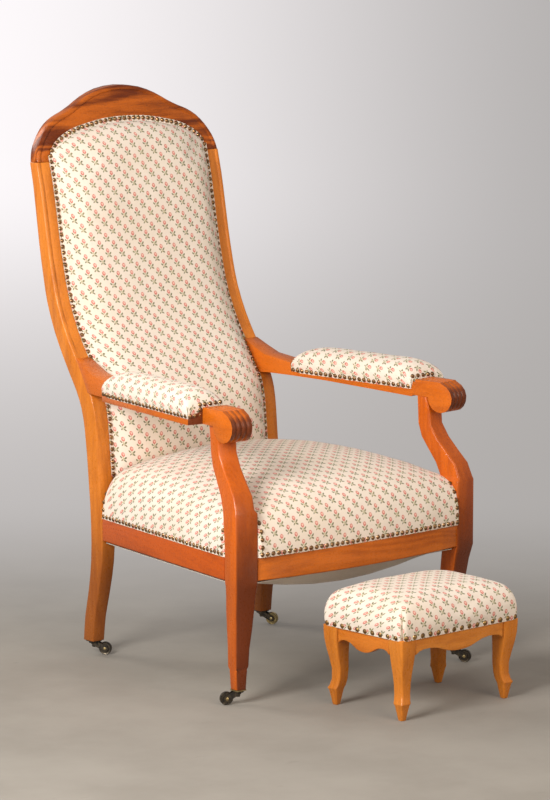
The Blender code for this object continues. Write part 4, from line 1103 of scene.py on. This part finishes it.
@dataclass
class BackPad(Pad):
    """The tall back pad, nailed inside the stiles and under the crest's arch."""

    name: str = "back_upholstery"
    node: str = "back_cushion"
    columns: int = 76
    rows: int = 150
    half: float = 0.1997
    low_z: float = 0.3640
    rail_top_z: float = 0.3757
    lap: float = 0.0056
    strip: float = 0.0120
    rise: float = 0.0400
    lift: float = 0.0009
    sink: float = 0.0085
    stile_top_z: float = 0.9760
    flat_x: float = 0.2090
    readings: int = 90

    def __post_init__(self) -> None:
        """Reads the front face of the stiles and the crest's arch once."""
        stile, crest = node_probe("back_stile_right"), node_probe("crest_rail")
        self.front: list[tuple[float, float]] = []
        for i in range(self.readings):
            z = mix(self.low_z - 0.01, self.stile_top_z, i / (self.readings - 1))
            met = stile.meet(Vector((self.flat_x, -1, z)) + ORIGIN, Vector((0, 1, 0)))
            if met:
                self.front.append((z, met[0].y - ORIGIN.y))
        self.arch: list[tuple[float, float]] = []
        for i in range(self.readings):
            x = self.half * math.sin(math.pi / 2 * i / (self.readings - 1))
            y = self.front_y(self.stile_top_z) + self.sink * 2
            met = crest.meet(Vector((x, y, self.stile_top_z - 0.1)) + ORIGIN, Vector((0, 0, 1)))
            if met:
                self.arch.append((x, met[0].z))

    def front_y(self, z: float) -> float:
        """The front face of the stiles and the crest at a height."""
        last_z, last_y = self.front[-1]
        return last_y + (z - last_z) * 0.22 if z > last_z else straight(self.front, z)

    def arch_z(self, x: float) -> float:
        """The crest's inner edge at a distance from the middle."""
        return straight(self.arch, min(abs(x), self.arch[-1][0]))

    def spot(self, u: float, v: float) -> Vector:
        """Where the cloth's place (u, v) stands."""
        x = u * (self.half + self.lap)
        top_z = self.arch_z(x) + self.lap
        z = mix(self.low_z, top_z, (v + 1) / 2)
        inside_x = 1 - self.strip / self.half
        inside_z = 1 - self.strip / (top_z - self.low_z) * 2
        rise = crown(min(abs(u) / inside_x, 1), 5) * crown(min(v, 0), 10)
        rise *= crown(min(max(v, 0) / inside_z, 1), 10)
        y = self.front_y(z) - self.lift - rise * self.rise
        if v < -0.999:
            y = self.front_y(z) + 0.0012
        return Vector((x, y, z)) + ORIGIN

    def close(self, bm: bmesh.types.BMesh, rim: list[bmesh.types.BMVert]) -> None:
        """Tucks the cloth in behind the frame's front face."""
        def tucked(vert: bmesh.types.BMVert, depth: float) -> Vector:
            """The vertex's place inside the frame, behind its front face."""
            x = max(min(vert.co.x - ORIGIN.x, self.half - 0.0004), 0.0004 - self.half)
            top = self.arch_z(x) - 0.0006
            z = max(min(vert.co.z, top), self.low_z)
            depth = min(depth, 0.0016) if z < self.rail_top_z else depth
            return Vector((x + ORIGIN.x, self.front_y(z) + depth + ORIGIN.y, z))

        skin = drawn(bm, rim, [tucked(vert, -0.0002) for vert in rim])
        behind = drawn(bm, skin, [tucked(vert, self.sink + 0.001) for vert in skin])
        bridged(bm, behind, 2 * self.columns + 1, 2 * self.rows + 1)


@dataclass
class ArmPad(Pad):
    """A long low pad on an arm, nailed along both sides and round its ends."""

    side: int = 1
    start: float = 0.2495
    columns: int = 52
    rows: int = 84
    pitch: float = 0.0130
    arm_back_y: float = 0.3350
    reach: float = 0.5625
    end: float = 0.8255
    seat_z: float = 0.5436
    wall: float = 0.0230
    rise: float = 0.0310
    bulge: float = 0.0050
    block_x: float = 0.2957
    block_z: float = 0.5625
    plan: tuple[tuple[float, float, float], ...] = (
        (0.250, 0.2797, 0.2091),
        (0.827, 0.3285, 0.2436),
    )

    def spot(self, u: float, v: float) -> Vector:
        """Where the cloth's place (u, v) stands."""
        place = mix(self.start, self.end, (v + 1) / 2)
        y = self.arm_back_y - place * self.reach
        outer, inner = straight(self.plan, place), straight(self.plan, place, 2)
        wall = crown(u, 16) * crown(v, 30) * self.wall
        back = min(v, 0)
        rise = crown(u, 2) ** 0.9 * crown(back, 5) * crown(max(v, 0), 8) * self.rise
        swell = self.bulge * math.sin(math.pi * min((wall + rise * 0.4) / (self.wall * 1.6), 1))
        half = (outer - inner) / 2 + 0.0009 + swell
        half *= 1 - 0.10 * abs(back) ** 10
        x = mix(outer, inner, 0.5) - self.side * u * half
        y -= swell * math.copysign(abs(v) ** 16, v)
        return Vector((self.side * x, y, self.seat_z - 0.0015 + wall + rise)) + ORIGIN

    def close(self, bm: bmesh.types.BMesh, rim: list[bmesh.types.BMVert]) -> None:
        """Closes the pad over the arm's board."""
        middle = sum((vert.co for vert in rim), Vector()) / len(rim)

        def under(vert: bmesh.types.BMVert) -> Vector:
            """The vertex's place just inside the cloth's edge, on the board."""
            way = (vert.co - middle).normalized() * 0.0014
            return Vector((vert.co.x - way.x, vert.co.y - way.y, self.seat_z + 0.0002))

        capped(bm, drawn(bm, rim, [under(vert) for vert in rim]))


@dataclass
class StoolPad(Pad):
    """The footstool's stuffed top with pleated corners."""

    name: str = "stool_upholstery"
    node: str = "stool_cushion"
    body: str = STOOL
    columns: int = 90
    rows: int = 72
    pitch: float = 0.0205
    pucker_reach: float = 0.011
    centre: tuple[float, float] = (0.0, -0.4250)
    turn: float = math.radians(1.8)
    half_x: float = 0.1560
    half_y: float = 0.1093
    corner: float = 0.0170
    base_z: float = 0.1550
    wall: float = 0.0570
    rise: float = 0.0205
    bulge: float = 0.0045
    pleat: float = 0.0030

    def rounded(self, x: float, y: float) -> tuple[float, float]:
        """Carries a point of the square plan over to one with round corners."""
        reach_x, reach_y = abs(x) - self.half_x + self.corner, abs(y) - self.half_y + self.corner
        if reach_x <= 0 or reach_y <= 0:
            return x, y
        share = max(reach_x, reach_y) / math.hypot(reach_x, reach_y)
        new_x = self.half_x - self.corner + reach_x * share
        new_y = self.half_y - self.corner + reach_y * share
        return math.copysign(new_x, x), math.copysign(new_y, y)

    def spot(self, u: float, v: float) -> Vector:
        """Where the cloth's place (u, v) stands."""
        x, y = self.rounded(u * self.half_x, v * self.half_y)
        wall = crown(u, 22) * crown(v, 22) * self.wall
        rise = crown(u, 3.2) * crown(v, 3.2) * self.rise
        swell = self.bulge * math.sin(math.pi * min((wall + rise * 0.5) / (self.wall * 1.5), 1))
        edge = max(abs(u), abs(v)) ** 14
        grow = 1 + swell / self.half_y * edge
        fold = 1 - self.pleat / self.half_y * self.folded(u, v) * edge
        place = Vector((x * grow * fold, y * grow * fold, self.base_z + wall + rise))
        return Matrix.Rotation(self.turn, 3, "Z") @ place + Vector((*self.centre, 0)) + ORIGIN

    def folded(self, u: float, v: float) -> float:
        """How deep the corner's pleat is at (u, v), from 0 to 1."""
        run = (abs(u) * self.half_x - self.half_x) - (abs(v) * self.half_y - self.half_y)
        return math.exp(-((run / 0.0030) ** 2))

    def close(self, bm: bmesh.types.BMesh, rim: list[bmesh.types.BMVert]) -> None:
        """Closes the pad over the stool's deck."""
        middle = sum((vert.co for vert in rim), Vector()) / len(rim)

        def under(vert: bmesh.types.BMVert) -> Vector:
            """The vertex's place just inside the cloth's edge, on the deck."""
            way = (vert.co - middle).normalized() * 0.0014
            return Vector((vert.co.x - way.x, vert.co.y - way.y, 0.1562))

        capped(bm, drawn(bm, rim, [under(vert) for vert in rim]))


@dataclass
class Nails:
    """Rows of domed brass nails, stood on the surfaces that they hold."""

    radius: float = 0.0047
    height: float = 0.0036
    stool_radius: float = 0.0052
    run_up: float = 0.03
    lean: float = 0.35
    sunk: float = 0.0002
    uneven: float = 0.0005
    made: int = 0

    def head(self, radius: float) -> bpy.types.Mesh:
        """A nail's head at the origin, its dome up +Z."""
        bm = bmesh.new()
        bmesh.ops.create_uvsphere(bm, u_segments=10, v_segments=6, radius=radius)
        bmesh.ops.bisect_plane(
            bm, geom=whole(bm), plane_co=(0, 0, 0), plane_no=(0, 0, 1), clear_inner=True
        )
        bmesh.ops.holes_fill(bm, edges=[edge for edge in bm.edges if edge.is_boundary])
        bmesh.ops.scale(bm, vec=(1, 1, self.height / radius), verts=bm.verts)
        bmesh.ops.recalc_face_normals(bm, faces=bm.faces)
        return poured("nail_head", bm)

    def spaced(self, path: Sequence[Vector], pitch: float) -> list[Vector]:
        """Even places along a path.

        Args:
            path: The path's points.
            pitch: About how far apart the places are.

        Returns:
            The places, the path's two ends among them.
        """
        lengths = [(b - a).length for a, b in zip(path, path[1:])]
        count = max(round(sum(lengths) / pitch), 1)
        places, walked, index = [], 0.0, 0
        for i in range(count + 1):
            target = sum(lengths) * i / count
            while index < len(lengths) - 1 and walked + lengths[index] < target:
                walked += lengths[index]
                index += 1
            share = (target - walked) / lengths[index] if lengths[index] else 0
            places.append(path[index].lerp(path[index + 1], min(share, 1)))
        return places

    def row(
        self,
        bm: bmesh.types.BMesh,
        probe: Probe,
        path: Sequence[Vector],
        pitch: float,
        facing: Vector | Callable[[Vector], Vector],
        radius: float = 0.0,
    ) -> None:
        """Stands one row of nails along a path.

        Args:
            bm: The shape that the nails join.
            probe: The surfaces that they stand on.
            path: Where the row runs, near the surface.
            pitch: How far apart they are.
            facing: The way out of the surface, or what gives it at a place.
            radius: The size of the heads, where it isn't the chair's.
        """
        template = self.head(radius or self.radius)
        for number, spot in enumerate(self.spaced(path, pitch)):
            way = (facing(spot) if callable(facing) else facing).normalized()
            met = probe.meet(spot + way * self.run_up, -way)
            if met is None:
                continue
            place, normal = met
            if normal.dot(way) < 0:
                normal = -normal
            axis = way.lerp(normal, self.lean).normalized()
            tilt = axis.to_track_quat("Z", "Y").to_matrix().to_4x4()
            shake = noise.noise_vector(spot * 311.0)
            place = place - axis * self.sunk + shake * self.uneven
            turned = template.copy()
            turned.transform(Matrix.Translation(place) @ tilt @ Matrix.Rotation(number, 4, "Z"))
            bm.from_mesh(turned)
            bpy.data.meshes.remove(turned)
            self.made += 1
        bpy.data.meshes.remove(template)

    def keep(self, name: str, bm: bmesh.types.BMesh, body: str) -> None:
        """Keeps a group of nails as one piece."""
        metal = STOOL_NAIL_METAL if body == STOOL else NAIL_METAL
        keep(name, bm, metal.material(), body, (), 50)


@dataclass
class Upholstery:
    """The five pads with their nails, the back's cover and the lining under the seat."""

    nails: Nails
    seat_nail_z: float = 0.2908
    back_pitch: float = 0.0122
    leg_row_top_z: float = 0.3650
    leg_row_start: float = 0.0135
    leg_pitch: float = 0.0138
    leg_gap: float = 0.0055
    side_end_y: float = 0.245
    front_half: float = 0.2520
    back_row_low_z: float = 0.3700
    back_row_top_z: float = 0.9850
    flat_margin: float = 1.02

    def build_seat(self) -> None:
        """Builds the seat and the nails along its rails and beside its legs."""
        pad = SeatPad()
        made = pad.build()
        probe = Probe([made.data])
        bm = bmesh.new()
        z = self.seat_nail_z
        first = Vector((0, 0, self.leg_row_start))
        leg_back = pad.leg_front_y + pad.leg_depth + self.leg_gap
        for side, _ in SIDES:
            out = Vector((side, -pad.splay, 0))
            start = Vector((side * pad.side_x(leg_back), leg_back, z)) + ORIGIN
            end = Vector((side * pad.side_x(self.side_end_y), self.side_end_y, z)) + ORIGIN
            self.nails.row(bm, probe, [start, end], pad.pitch, out)
            up = Vector((0, 0, self.leg_row_top_z - z))
            corner = Vector((side * self.front_half, pad.front_y, z)) + ORIGIN
            for foot, way in ((start, out), (end, out), (corner, Vector((0, -1, 0)))):
                self.nails.row(bm, probe, [foot + first, foot + up], self.leg_pitch, way)
        path = []
        for i in range(25):
            u = mix(-1, 1, i / 24)
            path.append(Vector((u * self.front_half, pad.front_y - (1 - u * u) * pad.bow, z)) + ORIGIN)
        self.nails.row(bm, probe, path, pad.pitch, Vector((0, -1, 0)))
        self.nails.keep("seat_nails", bm, CHAIR)

    def build_back(self) -> None:
        """Builds the back pad and the nails round it."""
        pad = BackPad()
        made = pad.build()
        probe = Probe([made.data])
        half = pad.half + 0.0004
        path = []
        for i in range(61):
            z = mix(self.back_row_low_z, self.back_row_top_z, i / 60)
            path.append(Vector((-half, pad.front_y(z), z)) + ORIGIN)
        arch = [Vector((x, pad.front_y(z), z + 0.0004)) + ORIGIN for x, z in pad.arch]
        left = [Vector((2 * ORIGIN.x - spot.x, spot.y, spot.z)) for spot in arch[::-1]]
        right = [Vector((2 * ORIGIN.x - spot.x, spot.y, spot.z)) for spot in path[::-1]]
        bm = bmesh.new()
        around = path + left + arch[1:] + right
        self.nails.row(bm, probe, around, self.back_pitch, Vector((0, -1, 0.2)))
        self.nails.keep("back_nails", bm, CHAIR)

    def build_arm(self, side: int, hand: str) -> None:
        """Builds one arm pad and its nails.

        Args:
            side: -1 for the left arm, 1 for the right.
            hand: The arm's name.
        """
        pad = ArmPad(name=f"arm_upholstery_{hand}", node=f"arm_pad_{hand}", side=side, seed=3.0 + side)
        made = pad.build()
        probe = Probe([made.data])
        bm = bmesh.new()
        z = pad.seat_z + 0.0040
        front_y = pad.arm_back_y - pad.end * pad.reach
        front = Vector((0, -1, 0))

        def edge(column: int, place: float) -> Vector:
            """A place along one side of the pad's lower edge."""
            y = pad.arm_back_y - place * pad.reach
            return Vector((side * straight(pad.plan, place, column), y, z)) + ORIGIN

        def ahead(x: float, height: float) -> Vector:
            """A place on the pad's front end."""
            return Vector((side * x, front_y, height)) + ORIGIN

        for column, out in ((1, side), (2, -side)):
            path = [edge(column, pad.start + 0.012), edge(column, pad.end - 0.010)]
            self.nails.row(bm, probe, path, pad.pitch, Vector((out, 0, 0)))
        ends = [edge(1, pad.start).lerp(edge(2, pad.start), share) for share in (0.10, 0.90)]
        self.nails.row(bm, probe, ends, pad.pitch, Vector((0, 1, 0)))
        outer, inner = straight(pad.plan, pad.end), straight(pad.plan, pad.end, 2)
        riser_x, sill_z = pad.block_x + 0.0048, pad.block_z + 0.0046
        for first, last, pitch in (
            (ahead(outer - 0.0045, z), ahead(riser_x, z), 0.0125),
            (ahead(riser_x, z + 0.0105), ahead(riser_x - 0.001, sill_z), 0.0105),
            (ahead(riser_x - 0.0125, sill_z), ahead(inner + 0.0045, sill_z), pad.pitch),
        ):
            self.nails.row(bm, probe, [first, last], pitch, front)
        self.nails.keep(f"arm_nails_{hand}", bm, CHAIR)

    def build_stool(self) -> None:
        """Builds the footstool's pad and its nails."""
        pad = StoolPad(seed=7.0)
        made = pad.build()
        probe = Probe([made.data])
        bm = bmesh.new()
        turn = Matrix.Rotation(pad.turn, 3, "Z")
        middle = Vector((*pad.centre, 0)) + ORIGIN
        radius = pad.corner
        path = []
        for quarter in range(4):
            for step in range(7):
                angle = math.pi / 2 * (quarter + step / 6)
                sx, sy = (1, -1, -1, 1)[quarter], (1, 1, -1, -1)[quarter]
                x = sx * (pad.half_x - radius) + radius * math.cos(angle)
                y = sy * (pad.half_y - radius) + radius * math.sin(angle)
                path.append(turn @ Vector((x, y, pad.base_z + 0.0058)) + middle)
        path.append(path[0])

        def facing(spot: Vector) -> Vector:
            """The way out of the stool's side."""
            way = turn.inverted() @ (spot - middle)
            reach_x, reach_y = abs(way.x) - pad.half_x + radius, abs(way.y) - pad.half_y + radius
            out = [math.copysign(max(reach_x, 0), way.x), math.copysign(max(reach_y, 0), way.y), 0]
            return turn @ Vector(out)

        self.nails.row(bm, probe, path, pad.pitch, facing, self.nails.stool_radius)
        self.nails.keep("stool_nails", bm, STOOL)

    def build_sheets(self) -> None:
        """Dresses the back's outer cover and the lining under the seat, and logs the area and box of each.
        """
        for name, node, slot, carrier in (
            ("back_cover_cloth", "back_cover_panel", "sprig_fabric", "back_stile"),
            ("seat_lining", "dust_cover", "hessian", "side_rail"),
        ):
            made = keep(name, node_copy(node), LINING.material(), CHAIR, [node])
            area = sum(face.area for face in made.data.polygons) / 2
            low, high = made.bound_box[0], made.bound_box[6]
            log.info("%s measures %.4f m2 in a box of %s to %s", made.name, area, tuple(low), tuple(high))

    def build(self) -> None:
        """Builds all the soft pieces."""
        self.build_back()
        self.build_seat()
        for side, hand in SIDES:
            self.build_arm(side, hand)
        self.build_stool()
        self.build_sheets()
        log.info("%d nails", self.nails.made)


@dataclass
class Studio:
    """A pale floor, soft lights and the camera."""

    camera_place: Point = (-4.9780, -5.8010, 1.7456)
    camera_tilt: float = 9.04
    camera_turn: float = -40.63
    lens: float = 177.2
    floor_reach: float = 60.0
    floor: Colour = (0.318, 0.292, 0.256)
    floor_dark: Colour = (0.268, 0.244, 0.212)
    shade: Colour = (0.460, 0.440, 0.432)
    glow: Colour = (1.000, 0.960, 0.975)
    stand_off: float = 7.64
    sky: Colour = (1.0, 0.97, 0.95)
    sky_strength: float = 0.42
    sensor: float = 36

    def build_floor(self) -> None:
        """Makes the floor, which far off becomes a glowing backdrop painted with light: brighter to the
        left and further away, greyer to the right.
        """
        bm = bmesh.new()
        bmesh.ops.create_grid(bm, x_segments=1, y_segments=1, size=self.floor_reach)
        mesh = poured("studio_floor", bm)
        linked("studio_floor", mesh)
        recipe = Recipe("studio_ground")
        turned = recipe.place(turn=(0, 0, math.radians(-self.camera_turn)))
        across, away = recipe.part(turned, "X"), recipe.part(turned, "Y")
        mottle = recipe.noise(recipe.place(), 3, 5, 0.6)
        scuff = recipe.ease(recipe.noise(recipe.place(scale=(1, 2.2, 1)), 11, 3, 0.5), 0.68, 0.80)
        colour = recipe.blend(recipe.ease(mottle, 0.3, 0.7), self.floor, self.floor_dark)
        colour = recipe.blend(scuff * 0.25, colour, tuple(value * 0.6 for value in self.floor_dark))
        matt = {"Base Color": colour, "Roughness": 0.7, "Specular IOR Level": 0.2}
        ground = recipe.node("ShaderNodeBsdfPrincipled", {}, matt)
        # painted light: the backdrop's glow, brighter to the left and further off, greyer to the right
        side = recipe.ease(across * -1 / (away + self.stand_off), -0.090, 0.085)
        side = side * recipe.ease(away, -2, 10)
        painted_backdrop_light = recipe.blend(side, self.shade, self.glow)
        painted_backdrop_light = recipe.blend(recipe.ease(away, 1.0, 8.0, 0.22, 0), painted_backdrop_light, self.floor)
        backdrop = recipe.node("ShaderNodeEmission", {}, {"Color": painted_backdrop_light})
        camera, glossy, through = (
            recipe.node("ShaderNodeLightPath", output=f"Is {kind} Ray")
            for kind in ("Camera", "Glossy", "Transmission")
        )
        seen = camera.most(glossy).most(through)
        # the far floor glows as painted light for camera, glossy and transmission rays only
        share = recipe.ease(away, -0.1, 1.8) * seen
        both = recipe.node("ShaderNodeMixShader", {}, {0: share, 1: ground, 2: backdrop})
        mesh.materials.append(recipe.surface(both))

    def build_world(self) -> None:
        """Sets a soft even surround."""
        world = bpy.data.worlds.new("studio")
        bpy.context.scene.world = world
        world.use_nodes = True
        sky = world.node_tree.nodes["Background"]
        sky.inputs["Color"].default_value = (*self.sky, 1)
        sky.inputs["Strength"].default_value = self.sky_strength

    def add_lamp(
        self, name: str, place: Point, aim: Point, size: float, power: float, colour: Colour
    ) -> None:
        """Adds a soft square lamp.

        Args:
            name: The lamp's name.
            place: Where it stands.
            aim: What it points at.
            size: The length of its side.
            power: Its power in watts.
            colour: Its colour.
        """
        lamp = bpy.data.lights.new(name, "AREA")
        lamp.shape, lamp.size, lamp.energy, lamp.color = "SQUARE", size, power, colour
        made = linked(name, lamp)
        made.location = place
        made.rotation_euler = (Vector(aim) - Vector(place)).to_track_quat("-Z", "Y").to_euler()

    def build_camera(self) -> None:
        """Stands the camera where the photograph was taken from."""
        data = bpy.data.cameras.new("camera")
        data.lens, data.sensor_width = self.lens, self.sensor
        camera = linked("camera", data)
        camera.location = Vector(self.camera_place) + ORIGIN
        camera.rotation_euler = (math.radians(90 - self.camera_tilt), 0, math.radians(self.camera_turn))
        bpy.context.scene.camera = camera

    def build(self) -> None:
        """Builds the whole studio."""
        bpy.context.scene.view_settings.view_transform = "Standard"
        self.build_floor()
        self.build_world()
        self.add_lamp("key", (-3.0, -0.9, 1.9), (0, 0, 0.5), 1.2, 120, (1.0, 0.985, 0.960))
        self.add_lamp("fill", (-0.4, -3.6, 2.1), (0, 0, 0.5), 2.2, 60, (1.0, 0.860, 0.720))
        self.add_lamp("rim", (-1.0, 2.4, 2.4), (0, 0, 0.6), 1.2, 30, (1.0, 0.960, 0.900))
        self.build_camera()


def main() -> None:
    """Builds the object's looks and the studio round it."""
    logging.basicConfig(level=logging.INFO, format="%(message)s")
    Timber().build()
    Hardware().build()
    Upholstery(Nails()).build()
    Studio().build()


if __name__ == "__main__":
    main()
